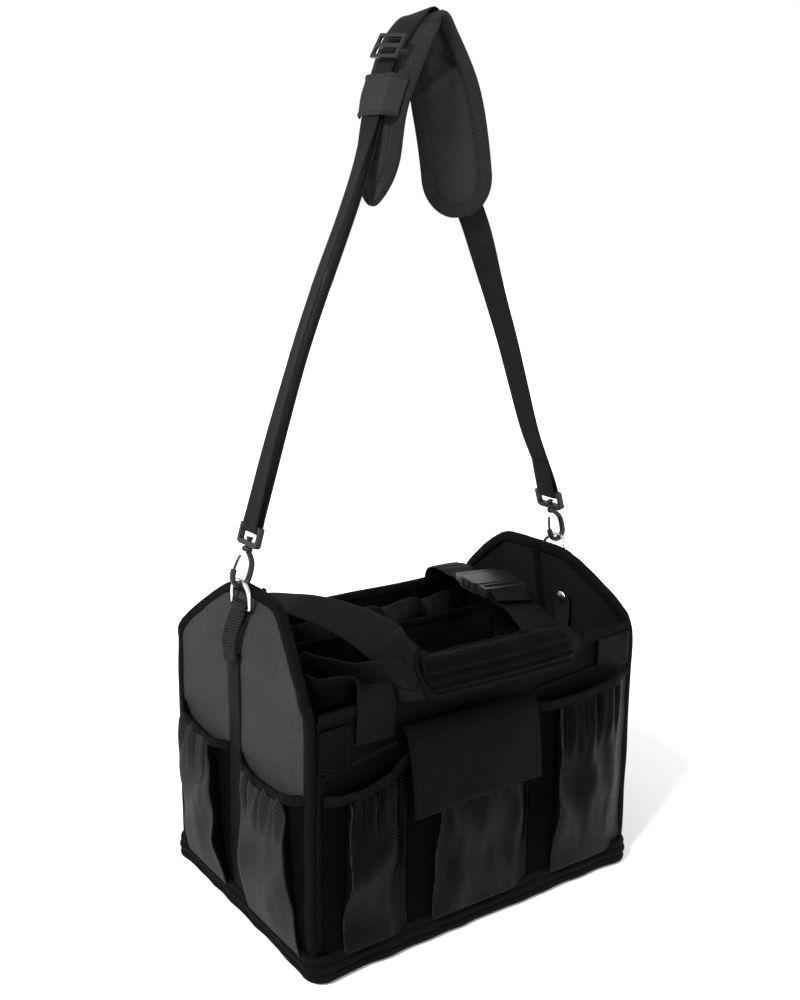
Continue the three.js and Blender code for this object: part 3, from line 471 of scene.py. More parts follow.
def webbing(name, value, light, roughness, sheen):
    """Narrow woven webbing: ribs across the width and weft rows."""
    n = Nodes(name, grey(value), roughness, sheen=sheen).coordinates()
    ribs = n.wave(0.0, 1.0, 2.6)
    rows = n.wave(1.0, 0.0, 1.9)
    basket = n.math("MULTIPLY", ribs, rows)
    weave = n.math("MULTIPLY_ADD", ribs, 0.5, basket)
    fuzz = n.noise(14.0, 4.0, 0.65)
    n.tint(n.math("MULTIPLY_ADD", weave, 0.14, fuzz), grey(light))
    n.rough(fuzz, roughness - 0.1, roughness + 0.1)
    n.bump(n.math("MULTIPLY_ADD", fuzz, 0.8, weave), 0.2)
    return n.material


def grosgrain(name, value, light, roughness, sheen, period=1.7, contrast=0.22):
    """Binding tape: ribs across its length, which show by contrast as well as relief."""
    n = Nodes(name, grey(value), roughness, sheen=sheen).coordinates()
    ribs = n.wave(1.0, 0.0, period)
    folds = n.noise(7.0, 3.0, 0.6)
    n.tint(n.math("MULTIPLY_ADD", ribs, contrast, folds), grey(light))
    n.bump(n.math("MULTIPLY_ADD", folds, 2.2, ribs), 0.4)
    return n.material


def plastic(name, value, roughness):
    """Moulded plastic: fine texture, faint scuffs that catch the light."""
    n = Nodes(name, grey(value), roughness, specular=0.2).coordinates(flat=False)
    grain = n.noise(0.9, 2.0)
    scuffs = n.noise(6.0, 5.0, 0.7)
    n.tint(n.math("MULTIPLY", scuffs, 0.6), grey(value * 2.2))
    n.rough(scuffs, roughness - 0.14, roughness + 0.16)
    n.bump(n.math("MULTIPLY_ADD", scuffs, 0.5, grain), 0.12)
    return n.material


def plated_wire(name, value):
    """Plated wire with dulled patches."""
    n = Nodes(name, grey(value), 0.2, metallic=1.0, specular=0.5).coordinates(flat=False)
    dull = n.noise(5.0, 4.0, 0.6)
    n.tint(n.math("MULTIPLY", dull, 0.5), grey(value * 0.68, 0.02))
    n.rough(dull, 0.12, 0.34)
    n.bump(dull, 0.08)
    return n.material


def floor_paper():
    n = Nodes("floor_paper", grey(0.86), 0.8).coordinates(flat=False)
    n.tint(n.noise(220.0, 2.0), grey(0.9))
    return n.material


CHARCOAL = cloth("charcoal_twill", 0.009, 0.031, 0.62, 0.03, 2.4, 0.55, 0.05)
POCKET_GREY = cloth("charcoal_pocket_twill", 0.005, 0.016, 0.5, 0.02, 2.4, 0.45, 0.05)
BLACK = cloth("black_twill", 0.0002, 0.0009, 0.31, 0.0, 2.0, 0.16)
SATIN = cloth("pocket_satin", 0.0002, 0.0007, 0.27, 0.0, 2.0, 0.1)
FLAP = cloth("flap_twill", 0.0004, 0.0014, 0.42, 0.0, 2.0, 0.2, gloss=0.024)
# painted shade: a dark, matte cloth given to each pleat's gusset, standing in for the shade in the recess
# behind the folded edge
PAINTED_SHADE_GUSSET = cloth("gusset_painted_shade", 0.0002, 0.0006, 0.9, 0.0, 2.0, 0.1)
# painted highlight: a lighter cloth for the narrow strip along each pleat's folded edge, standing in for
# the light the crease catches
PAINTED_HIGHLIGHT_CREASE = cloth("crease_painted_highlight", 0.003, 0.009, 0.5, 0.0, 2.0, 0.1)
LINING = cloth("black_lining", 0.002, 0.006, 0.7, 0.01, 1.8, 0.3)
PAD_CLOTH = cloth("pad_twill", 0.010, 0.022, 0.5, 0.03, 1.7, 0.22)
WEB = webbing("black_web", 0.0035, 0.009, 0.55, 0.01)
HANDLE_BLACK = webbing("handle_web", 0.0014, 0.004, 0.55, 0.0)
TAPE = grosgrain("binding_tape", 0.001, 0.0035, 0.7, 0.0)
GREY_TAPE = grosgrain("grey_binding_tape", 0.008, 0.018, 0.65, 0.03)
RIBBED = grosgrain("ribbed_tab_web", 0.003, 0.016, 0.6, 0.0, 2.4, 0.32)
THREAD = grosgrain("stitch_thread", 0.004, 0.010, 0.7, 0.0, 0.8)
PLASTIC = plastic("moulded_black", 0.004, 0.3)
HOOK_PLASTIC = plastic("hook_black", 0.006, 0.3)
STEEL = plated_wire("bright_wire", 0.62)
GATE_STEEL = plated_wire("blackened_wire", 0.05)


# ------------------------------------------------------------------ trimmings
def trim(name, line, wide, size, body="caddy", slot="black_webbing", nodes=(), material=TAPE, closed=False):
    """A tape, hem, bead or wire along line. size is the arguments of its oval section, and wide the
    direction of the section's first axis, the same all along or one for each point."""
    if not isinstance(wide, list):
        wide = [Vector(wide)] * len(line)
    return settle(sweep(name, line, wide, oval(*size), material, closed), body, slot, *nodes)


def fabric(name, steps, place, size, material, thick, nodes=(), body="caddy",
           slot="black_fabric"):
    """A cloth piece whose flat size is given in mm, and the piece it rests on."""
    obj = settle(grid(name, steps, place, size, material, thick), body, slot, *nodes)
    return obj


def sew(name, lines, body="caddy", slot="black_webbing", **size):
    settle(stitches(name, lines, **size), body, slot)


# ------------------------------------------------------------------ base
def rounded_rectangle(half_x, half_y, radius):
    steps = 8
    points = []
    for k, (sx, sy) in enumerate(((1, 1), (-1, 1), (-1, -1), (1, -1))):
        for i in range(steps + 1):
            angle = (k + i / steps) * math.pi / 2
            points.append((sx * (half_x - radius) + radius * math.cos(angle),
                           sy * (half_y - radius) + radius * math.sin(angle)))
    return points


def around_base():
    """Evenly spaced points round the base and the outward direction at each."""
    corners = rounded_rectangle(END_X + SKIRT_GAP, -FACE_Y + SKIRT_GAP, TRAY_CORNER + SKIRT_GAP)
    outline = [Vector((x, y, 0)) for x, y in corners]
    line = []
    for a, b in zip(outline, outline[1:] + outline[:1]):
        parts = max(1, round((b - a).length / 6))
        line += [a.lerp(b, k / parts) for k in range(parts)]
    wide = []
    for i, p in enumerate(line):
        along = line[(i + 1) % len(line)] - line[i - 1]
        wide.append(Vector((along.y, -along.x, 0)).normalized())
    return line, wide


def make_base():
    """The skirt of the tray with its two rolled beads, and the flat underside."""
    skirt = [(-10.0, 0.9), (-3.0, 0.5), (1.0, 0.6), (3.6, 1.6), (5.0, 3.6), (5.2, 6.0), (4.2, 8.0),
             (2.4, 9.0), (4.4, 10.0), (5.6, 11.8), (5.7, 14.0), (4.6, 16.0), (2.6, 16.8), (3.8, 17.8),
             (4.6, 19.6), (4.4, 22.0), (3.0, 24.0), (0.6, 25.0), (-0.6, 24.6), (-1.0, 20.0),
             (-1.0, 4.0), (-8.0, 3.2)]
    line, wide = around_base()
    for k, p in enumerate(line):
        corner = bell(abs(p.x) - END_X, 14) * bell(abs(p.y) + FACE_Y, 14)
        p += wide[k] * (ripple((p.x, p.y, 4), 24.0, 2.6) + 2.2 * corner)
    section = [(a, -b) for a, b in reversed(skirt)]
    rim = sweep("base_skirt", line, wide, section, TAPE, closed=True)
    settle(rim, "caddy", "black_fabric", "base_tray", "base_piping")

    def sole(u, v):
        z = 1.9 + ripple((u * 300, v * 200, 1), 40.0, 0.5)
        return Vector(((2 * u - 1) * (END_X - 6), (2 * v - 1) * (-FACE_Y - 6), z))
    settle(grid("base_sole", (24, 18), sole, (338, 238), BLACK, 1.2), "caddy", "black_fabric")

    def inside(u, v):
        z = 5.6 + ripple((u * 300, v * 200, 7), 60.0, 0.5)
        return Vector(((2 * u - 1) * 168.0, (2 * v - 1) * 119.0, z))
    fabric("base_board_cover", (28, 20), inside, (336, 238), LINING, 1.2,
           ["base_board"])


# ------------------------------------------------------------------ panels and their tapes
def panel_top(side, y):
    """Height of an end panel's edge at y in the panel's own direction."""
    near = (y > 0) if side == "left" else (y < 0)
    corner = RIM_Z + (RIM_SAG[side] if near else 0.0)
    half = NEAR_PEAK[side] if near else HALF_PEAK
    over = max(0.0, abs(y) - half)
    return PEAK_Z - over * (PEAK_Z - corner) / (-FACE_Y - half)


def end_point(side, y, z, out):
    """A point of the right end, or of the left end turned half a turn, out from its outer face."""
    sign = TURN[side]
    return Vector((sign * (END_X - lean(side, z) + out), sign * y, z))


def make_end_panel(side):
    def flat(u, v):
        y = (2 * u - 1) * SHOULDER_Y
        return y, PANEL_FOOT + v * (panel_top(side, y) - 7)

    def place(u, v):
        y, z = flat(u, v)
        out = -2.0 + 1.8 * math.sin(math.pi * u) * math.sin(math.pi * v)
        out += ripple((y, z, 5 if side == "left" else 60), 48.0, 2.0) + ripple((y, z, 9), 17.0, 0.7)
        return end_point(side, y, z, out - 1.2 * bell(y - STRIP_Y, 14))
    obj = grid(f"{side}_end_cloth", (44, 48), place, flat, CHARCOAL, 3.6)
    obj.data.materials.append(LINING)
    obj.modifiers["thickness"].material_offset = 1
    settle(obj, "caddy", "charcoal_fabric", f"{side}_end_panel")
    line = [end_point(side, -4, z, -6.6) for z in range(205, 301, 5)]
    trim(f"{side}_inner_seam", line, ALONG_X, (1.8, 9.0, 10, 2.6))


def make_end_tape(side):
    """One folded tape up both corners and over the peak."""
    def drop(z):
        if z <= RIM_Z - 8:
            return 0.0
        return PEAK_DROP if z > PEAK_Z - 14 else EDGE_DROP
    far = panel_top(side, -SHOULDER_Y) - 4.5
    near = panel_top(side, SHOULDER_Y) - 4.5
    low, high = -HALF_PEAK, NEAR_PEAK["left"]
    if side == "right":
        low, high = -NEAR_PEAK["right"], HALF_PEAK
    corners = [(-SHOULDER_Y, z) for z in (20, 128, far - 14)] + [(-SHOULDER_Y + 1.5, far + 1.5)]
    corners += [(y, panel_top(side, y)) for y in (-110, -76, low - 6)]
    corners += [(low + 4, PEAK_Z - 1), (0, PEAK_Z), (high - 4, PEAK_Z - 1)]
    corners += [(y, panel_top(side, y)) for y in (high + 6, 76, 110)]
    corners += [(SHOULDER_Y - 1.5, near + 1.5)] + [(SHOULDER_Y, z) for z in (near - 14, 128, 20)]
    line = curve_points([end_point(side, y, z - drop(z), -2.2) for y, z in corners], 9)
    for k, p in enumerate(line):
        p += Vector((ripple((k, 2, 1), 3.5, 0.9), ripple((k, 5, 1), 3.0, 0.7), ripple((k, 8, 1), 3.0, 0.5)))
    obj = trim(f"{side}_edge_tape", line, ALONG_X, (8.6, 10.5, 14, 3.0), nodes=[f"{side}_end_binding"])
    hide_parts(*(f"{face}_{side}_corner" for face in FACES))


def make_face_panel(side):
    turn = TURN[side]

    def place(u, v):
        x = (2 * u - 1) * END_X
        z = PANEL_FOOT + v * (rim_height(side, x) - 6)
        half = 171.0 - lean("right", z)
        out = 1.6 * math.sin(math.pi * v) * math.sin(3 * math.pi * u) + ripple((u * 300, z, 2), 42.0, 1.6)
        return Vector((turn * (2 * u - 1) * half, turn * (FACE_Y + 2.0 - out), z))
    fabric(f"{side}_cloth", (48, 32), place, (340, 230), BLACK, 3.2,
           [f"{side}_panel"])
    points = []
    for k in range(17):
        x = -166 + 332 * k / 16
        points.append(Vector((turn * x, turn * (FACE_Y + 2.0), rim_height(side, x) - 4.6)))
        points[k].z += ripple((k, 3, turn), 2.5, 1.3) - 1.2 * math.sin(math.pi * k / 16)
    line = curve_points(points, 6)
    trim(f"{side}_rim_tape", line, ALONG_Y, (7.2, 10.5, 12, 3.0), nodes=[f"{side}_rim_binding"])


def make_face_patches(side):
    """Doubled corner patches under the rim, and the seam that runs above the outer pockets."""
    turn = TURN[side]
    patches = (("left", -168.0, -138.0, 181.0, 219.0), ("right", 126.0, 166.0, 205.0, 238.0))
    for name, x0, x1, low, high in patches:
        def place(u, v, x0=x0, x1=x1, low=low, high=high):
            x = x0 + (x1 - x0) * u
            rise = rim_height(side, x) - rim_height(side, x0)
            z = low + (high - low) * v + rise
            return Vector((turn * x, turn * (FACE_Y - 1.6 + ripple((x, z, 6), 14.0, 0.9)), z))
        patch = grid(f"{side}_{name}_patch", (12, 12), place, (x1 - x0, high - low), BLACK, 1.4)
        settle(patch, "caddy", "black_webbing")
        out = Vector((0, -turn, 0))
        box = ((0.08, 0.08), (0.92, 0.08), (0.92, 0.92), (0.08, 0.92), (0.08, 0.08))
        line = [(place(a, b) + out * 0.8, out) for a, b in box]
        sew(f"{side}_{name}_patch_stitches", [line])
    tucks = (("left", -164.0, -92.0, 178.0, 193.0), ("right", 53.0, 164.0, 205.0, 214.0))
    for name, x0, x1, low, high in tucks:
        line = []
        for k in range(21):
            x = x0 + (x1 - x0) * k / 20
            line.append(Vector((turn * x, turn * (FACE_Y - 0.6), low + (high - low) * k / 20)))
        trim(f"{side}_{name}_tuck", line, ALONG_Y, (2.4, 4.6, 10, 2.4))


# ------------------------------------------------------------------ pockets
TUCK = 7.0                     # how far a pleat's gusset runs in behind its folded edge
POCKET_CELL = 1.3              # spacing of a pocket's points along its cloth
POCKET_ROWS = 44


def front_depth(across, width, v, seed):
    """How far the front of a gathered pocket stands off its panel."""
    edge = smooth((width - across) / 24.0)
    belly = 5.5 + 7.0 * math.sin(min(v / 0.6, 1.0) * math.pi / 2) - 4.0 * smooth((v - 0.6) / 0.4)
    gather = smooth((v - 0.6) / 0.3)
    waves = math.sin(across / 1.9 + 1.6 * math.sin(v * 4 + seed)) * 0.9 + math.sin(across / 3.3 + seed * 2)
    slack = ripple((across + 45 * v, v * 95, seed * 31), 32.0, 10.0)
    slack += ripple((across - 10 * v, v * 40, seed * 17), 11.0, 0.7 + 2.2 * smooth((v - 0.5) / 0.35))
    middle = math.sin(math.pi * min(v * 1.1, 1.0))
    gathers = smooth((width - across) / 20.0) * 2.3 * gather * waves
    return max(0.8, 0.8 + edge * (belly + slack * middle) + gathers)


def pleat_run(u, v, width, pleat, seed):
    """How far along the cloth share (u, v) of a pleated pocket is, and where its parts meet.

    From the seam the gusset runs in behind the front, turns back at a folded edge and becomes the front."""
    foot, head = pleat
    edge = foot + (head - foot) * v
    front = front_depth(edge, width, v, seed)
    gusset = edge + TUCK
    turned = gusset + (TUCK + front)
    return u * (turned + width - edge), edge, front, gusset, turned


def pleated(u, v, width, pleat, seed):
    """The distance of share (u, v) of a pocket from the pleat's seam, and its depth."""
    s, edge, front, gusset, turned = pleat_run(u, v, width, pleat, seed)
    if s < gusset:
        across = s
        depth = 0.6 + 1.2 * smooth(s / gusset)
    elif s < turned:
        t = (s - gusset) / (TUCK + front)
        across = edge + TUCK * (1 - smooth(t * 1.15))
        depth = 1.8 + (front - 1.8) * smooth((t - 0.25) / 0.75)
    else:
        across = s - gusset - (TUCK + front) + edge
        depth = front_depth(across, width, v, seed)
    closed = 0.8 * smooth((v - 0.93) / 0.07)
    return across, depth + (mouth_depth(across, width, seed) - depth) * closed


def pleat_part(u, v, width, pleat, seed):
    """0 for a pocket's front, 1 for the gusset, which takes a darker matte cloth as painted shade, and 2
    for the crease between them, which takes a lighter cloth as a painted highlight.
    """
    s, _, _, _, turned = pleat_run(u, v, width, pleat, seed)
    if s > turned + 0.6 or v > 0.95:
        return 0
    return 2 if s > turned - 1.6 else 1


def mouth_depth(across, width, seed):
    """The pocket's depth along its elastic mouth."""
    near = min(across, width - across)
    return 1.0 + 7.0 * smooth(near / 20.0) + ripple((across, seed * 9, 2), 16.0, 1.8)


def pocket(name, width, mouth, place, material, slot, pleat, flip, seed):
    """A pleated, gathered pocket and the elastic tape along its mouth.

    mouth is the height of its two corners and the sag between them. place(s, z, out) gives a point, s mm
    from the left seam. flip puts the pleat at the right seam."""
    low, high, sag = mouth

    def top(u):
        return low + (high - low) * u - sag * math.sin(math.pi * u)

    def cloth_at(u, v):
        across, depth = pleated(1 - u if flip else u, v, width, pleat, seed)
        s = width - across if flip else across
        return place(s, POCKET_FOOT + v * (top(s / width) - POCKET_FOOT), 0.9 + depth)
    tall = top(0.5) - POCKET_FOOT
    long = width + 2 * TUCK + 12
    columns = round(long / POCKET_CELL)
    rows = POCKET_ROWS
    obj = fabric(f"{name}_cloth", (columns, rows), cloth_at, (long, tall), material, 1.2,
                 [name], slot=slot)
    # the gusset faces get the painted-shade cloth, and the strip along each fold gets the painted-highlight
    # cloth
    obj.data.materials.append(PAINTED_SHADE_GUSSET)
    obj.data.materials.append(PAINTED_HIGHLIGHT_CREASE)
    for index, polygon in enumerate(obj.data.polygons):
        column, row = divmod(index, rows)
        share = (column + 0.5) / columns
        share = 1 - share if flip else share
        polygon.material_index = pleat_part(share, (row + 0.5) / rows, width, pleat, seed)
    line = []
    count = round(width / 2.2)
    for i in range(count + 1):
        s = width * i / count
        frill = 0.7 * math.sin(s / 3.0 + seed) + ripple((s, seed, 8), 9.0, 1.0)
        depth = mouth_depth(width - s if flip else s, width, seed)
        line.append(place(s, top(i / count) - 2.6 + 0.5 * frill, 1.4 + depth + 0.35 * frill))
    out = place(width / 2, 100, 10) - place(width / 2, 100, 0)
    trim(f"{name}_elastic", line, out, (4.4, 9.6, 12, 2.6), slot=slot)


def make_face_pockets(side):
    turn = TURN[side]
    columns = (("left", -164.0, -83.4, (162.0, 179.0, 6.0), (14, 19)),
               ("centre", -82.6, 49.6, (184.0, 184.0, 4.0), (22, 26)),
               ("right", 50.4, 164.0, (193.0, 203.0, 4.5), (24, 27)))
    for k, (column, x0, x1, mouth, pleat) in enumerate(columns):
        def place(s, z, out, x0=x0):
            edge = 169.5 - lean("right", z)
            return Vector((turn * max(-edge, min(edge, x0 + s)), turn * (FACE_Y - out), z))
        pocket(f"{side}_{column}_pocket", x1 - x0, mouth, place, SATIN, "black_fabric", pleat, False,
               3 * k + (1 if turn > 0 else 2))


def make_end_pockets(side):
    sign = TURN[side]
    low_edge = STRIP_Y - STRIP_W / 2
    high_edge = STRIP_Y + STRIP_W / 2
    names = ("front", "back") if sign > 0 else ("back", "front")
    spans = ((-116.5, low_edge + 1, (167.0, 159.0, 5.0)), (high_edge - 1, 116.5, (159.0, 162.0, 7.0)))
    for k, (name, (y0, y1, mouth)) in enumerate(zip(names, spans)):
        def place(s, z, out, y0=y0):
            return end_point(side, y0 + s, z, out)
        pocket(f"{side}_end_{name}_pocket", y1 - y0, mouth, place, POCKET_GREY, "charcoal_fabric", (3, 24),
               True, 5 * k + (3 if sign > 0 else 4))


# ------------------------------------------------------------------ flaps
FLAP_FALL = ((2.6, 0.0), (6.0, -3.5), (10.0, -11.0), (14.5, -28.0), (18.0, -52.0), (20.0, -76.0))


def make_flap(side):
    turn = TURN[side]
    x0, x1 = FLAP_SPAN
    line = curve_points([(0, a, b) for a, b in FLAP_FALL], 10)

    def place(u, v):
        k = min(int(v * (len(line) - 1)), len(line) - 2)
        p = line[k].lerp(line[k + 1], v * (len(line) - 1) - k)
        x = x0 + (x1 - x0) * u
        out = p.y + 2.6 * v * (1 - u) ** 2 - 2.5 * v * u ** 2 + ripple((x, v * 70, 3), 38.0, 2.2 * v)
        z = FLAP_TOP + p.z + 1.2 * v * math.sin(math.pi * u)
        return Vector((turn * x, turn * (FACE_Y - 2.2 - out), z))
    fabric(f"{side}_flap_cloth", (36, 24), place, (140, 82), FLAP, 2.4,
           [f"{side}_flap"], f"{side}_flap")
    edge = [place(0.004, v / 20) for v in range(21)] + [place(u / 30, 0.995) for u in range(1, 31)]
    edge += [place(0.996, 1 - v / 20) for v in range(1, 21)]
    normal = Vector((0, turn * -1.0, -0.25)).normalized()
    seam = []
    for p in edge:
        p = p + normal * 1.5
        centre = Vector((turn * (x0 + x1) / 2, p.y, 172))
        seam.append((p + (centre - p).normalized() * 4.5, normal))
    sew(f"{side}_flap_stitches", [seam], f"{side}_flap", "black_fabric")


# ------------------------------------------------------------------ end webs, tabs, rings and hooks
def make_end_web(side):
    low, high = END_WEB

    def place(u, v):
        z = low + u * (high - low)
        y = STRIP_Y + (v - 0.5) * STRIP_W
        return end_point(side, y + ripple((z, 3, 1), 50.0, 1.5), z, 1.3 + ripple((z, y, 4), 24.0, 0.9))
    obj = grid(f"{side}_centre_web", (60, 6), place, (high - low, STRIP_W), HANDLE_BLACK, WEB_T)
    settle(obj, "caddy", "black_webbing", f"{side}_end_web")


def make_ring_tab(side):
    """A doubled web round the ring's bar, sewn to the panel at a slant."""
    sign = TURN[side]
    bar = RING_X[side]
    foot = END_X - lean(side, 238) + 2.0

    def station(x, z):
        y = RING_Y - max(0, RING_BAR_Z - 6 - z) * 0.24
        return [(sign * x, -sign * y, z), (0, 1, 0)]
    reach = RING_WIRE + 1.5
    stations = [station(foot + 2.6, 238), station(foot + 1.6, 256), station(bar + reach, RING_BAR_Z - 3)]
    for k in range(5):
        angle = k / 4 * math.pi
        stations.append(station(bar + reach * math.cos(angle), RING_BAR_Z + reach * math.sin(angle)))
    stations += [station(bar - reach, RING_BAR_Z - 3), station(foot - 0.2, 257), station(foot + 0.6, 239)]
    obj = ribbon(f"{side}_tab_web", stations, 25, RIBBED, 90, 1.8)
    settle(obj, "caddy", "black_webbing", f"{side}_ring_tab")
    lines = []
    for z in (241, 252, 262):
        y = RING_Y - (RING_BAR_Z - 6 - z) * 0.24
        x = foot + 3.7 + (bar - foot) * max(0, z - 256) / 27
        out = Vector((sign, 0, 0.2)).normalized()
        lines.append([(Vector((sign * x, -sign * (y + d), z)), out) for d in (-10.5, 10.5)])
    sew(f"{side}_tab_stitches", lines)


def make_ring(side):
    sign = TURN[side]
    tilt = math.radians(RING_TILT[side])
    path = [(RING_R, 0), (RING_R, 3)]
    for k in range(17):
        angle = k * math.pi / 16
        path.append((RING_R * math.cos(angle), RING_SIDE + RING_R * math.sin(angle)))
    path += [(-RING_R, 3), (-RING_R, 0)] + [(RING_R * (k / 6 - 1), 0) for k in range(1, 12)]
    line = []
    for a, b in path:
        up = Vector((sign * b * math.sin(tilt), a, b * math.cos(tilt)))
        line.append(Vector((sign * RING_X[side], -sign * RING_Y, RING_BAR_Z)) + up)
    across = RING_WIRE * 1.9       # a little thinner than the solid, clear of the hook
    trim(f"{side}_ring_wire", line, (math.cos(tilt), 0, -sign * math.sin(tilt)), (across, across, 14, 2.0),
         f"{side}_ring", "steel", [f"{side}_d_ring"], STEEL, closed=True)


def ring_crown(side):
    sign = TURN[side]
    height = RING_SIDE + RING_R
    tilt = math.radians(RING_TILT[side])
    return Vector((sign * (RING_X[side] + height * math.sin(tilt)), -sign * RING_Y,
                   RING_BAR_Z + height * math.cos(tilt)))


def from_hook(side, across, up, y=0.0):
    """A point in a hook's own upright frame, in the caddy's frame."""
    sign = TURN[side]
    turn = Matrix.Rotation(-sign * math.radians(HOOK_TILT[side]), 3, "Y")
    return ring_crown(side) + turn @ Vector((across, y, up))


def lathe(name, side, rings, material, n=20):
    """A round solid on a hook's axis, from (radius, height) rings."""
    def place(u, v):
        radius, up = rings[round(u * (len(rings) - 1))]
        angle = v * 2 * math.pi
        return from_hook(side, radius * math.cos(angle), up, radius * math.sin(angle))
    return grid(name, (len(rings) - 1, n), place, (20, 30), material, around=True, caps=True)


def make_hook(side):
    """A plastic snap hook on a swivel stem, with a sprung wire gate."""
    body = f"{side}_snap_hook"
    bend = [(-8.0, 8.5), (-8.2, 6.0)]
    bend += [(8 * math.cos(math.pi + k / 10 * math.pi), 3 + 8 * math.sin(math.pi + k / 10 * math.pi))
             for k in range(11)]
    bend += [(8.3, 10), (7.4, 16), (4.4, 21.5), (1.2, 25.5)]
    line = curve_points([from_hook(side, x, z) for x, z in bend], 4)
    flat = from_hook(side, 0, 0, 1) - from_hook(side, 0, 0, 0)
    trim(f"{side}_hook_body", line, flat, (6.0, 4.7, 14, 2.8), body, "black_plastic", [f"{side}_hook"],
         HOOK_PLASTIC)
    collar = [(3.0, 25), (4.4, 25.4), (4.8, 26.4), (4.8, 28.4), (4.3, 29.4), (2.3, 29.7), (2.0, 30.5),
              (2.0, 36.0), (3.3, 36.4), (3.5, 37.2), (3.2, 38.0), (1.0, 38.3)]
    settle(lathe(f"{side}_hook_collar", side, collar, HOOK_PLASTIC), body, "black_plastic")
    wire = [from_hook(side, x, z) for x, z in ((-8.0, 8.2), (-7.6, 12), (-6.6, 17), (-5.2, 21.6))]
    trim(f"{side}_gate_wire", curve_points(wire, 5), flat, (3.0, 2.4, 12, 2.2), f"{side}_gate", "steel",
         [f"{side}_hook_gate"], GATE_STEEL)


def finish_cad_node(node, material, width=0.5):
    """Keeps a CAD solid's shape, with softened edges and its own material."""
    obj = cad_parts[node]
    for slot in obj.material_slots:
        slot.link = "OBJECT"
        slot.material = material
    edge = obj.modifiers.new("soft_edges", "BEVEL")
    edge.width = width * MM
    edge.segments = 2
    edge.limit_method = "ANGLE"
    edge.angle_limit = math.radians(35)


# ------------------------------------------------------------------ shoulder strap
FACE_VIEW = (0.81, -0.58, 0)
EDGE_ON = (0, -1, 0)
TWISTED = (-0.22, -0.975, 0)
WEB_LOOP = 6.0                 # how far the web dips under the eye's bar
WEB_RUN = 3.2                  # half the distance between a doubled web's runs
PAD_LINE = [
    ((-40, 4, 625), EDGE_ON), ((-35, 4, 660), EDGE_ON), ((-29, 3, 699), EDGE_ON),
    ((-17, 2, 735), (0.1, -0.99, 0)), ((-3, 1, 763), (0.2, -0.97, 0)), ((10, -1, 774), (0.35, -0.93, 0)),
    ((20, -2, 756), (0.6, -0.8, 0)), ((29, -3, 722), (0.75, -0.66, 0)), ((37, -4, 690), FACE_VIEW),
    ((43, -5, 655), FACE_VIEW), ((47, -6, 617), FACE_VIEW),
]
PAD_ROUTE = Route(PAD_LINE)
PAD_OUT = 1 if PAD_ROUTE.frame(0.5)[2].z > 0 else -1


def over_pad(u, lift):
    return PAD_ROUTE.beside(u, 0, PAD_OUT * lift), PAD_ROUTE.frame(u)[1]


def web_skin(seed):
    """The slight sway and cupping of used webbing."""
    return lambda u, v: ripple((u * 60, seed, 0), 7.0, 1.3) + 0.5 * (2 * v - 1) ** 2


def make_left_web():
    outer = ((-50, 5, 650), (-110, 11, 492))
    stations = [over_pad(u, PAD_LIFT + 2.4) for u in (0.37, 0.31, 0.25, 0.19)]
    stations += [((x - WEB_RUN, y, z + 1), TWISTED) for x, y, z in outer]
    bar = ((-WEB_RUN, 7), (-WEB_RUN, -1), (0, -WEB_LOOP), (WEB_RUN, -1), (WEB_RUN, 7))
    stations += [(from_hook("left", x, EYE_BAR + z), EDGE_ON) for x, z in bar]
    stations += [((x + WEB_RUN, y, z - 1), TWISTED) for x, y, z in reversed(outer)]
    stations += [over_pad(u, PAD_LIFT) for u in (0.19, 0.25, 0.3, 0.35)]
    obj = ribbon("left_strap_webbing", stations, STRAP_WEB, WEB, 260, WEB_T, web_skin(3))
    settle(obj, "shoulder_strap", "black_webbing", "left_strap_web")


def make_right_web():
    stations = [over_pad(u, PAD_LIFT) for u in (0.385, 0.42, 0.46, 0.5, 0.54, 0.58, 0.65, 0.72, 0.8, 0.88)]
    stations += [((67, -8, 600), (0.7, -0.7, 0)), ((83.5, -9, 556), (0.4, -0.9, 0)),
                 ((104, -11, 501), (0.25, -0.97, 0)), ((135.5, -14, 410), (0.1, -0.99, 0))]
    bar = ((WEB_RUN, 7), (WEB_RUN, -1), (0, -WEB_LOOP), (-WEB_RUN, -1), (-WEB_RUN, 9), (-WEB_RUN + 0.8, 34))
    stations += [(from_hook("right", x, EYE_BAR + z), EDGE_ON) for x, z in bar]
    obj = ribbon("right_strap_webbing", stations, STRAP_WEB, WEB, 240, WEB_T, web_skin(8))
    settle(obj, "shoulder_strap", "black_webbing", "right_strap_web")
    lines = []
    for up in (EYE_BAR + 14, EYE_BAR + 30):
        base = from_hook("right", -WEB_RUN - 1.2, up)
        out = (from_hook("right", -1, 0) - from_hook("right", 0, 0)).normalized()
        lines.append([(base + Vector((0, d, 0)), out) for d in (-10, 10)])
    sew("right_web_stitches", lines, "shoulder_strap")


def pad_half(u):
    """Half the pad's width at share u of its length: a pointed lobe, a pinched bend and a rounded lobe."""
    reach = 0.24 if u < 0.5 else 0.18
    end = clamp((abs(2 * u - 1) - 1 + reach) / reach)
    tip = (1 - end * end) ** (0.8 if u < 0.5 else 0.5)
    return PAD_HALF * tip * (1 - 0.36 * bell(u - 0.54, 0.10))


def inset(u):
    """Share u of the pad's length, kept just inside its two ends."""
    return 0.5 + (u - 0.5) * 0.998


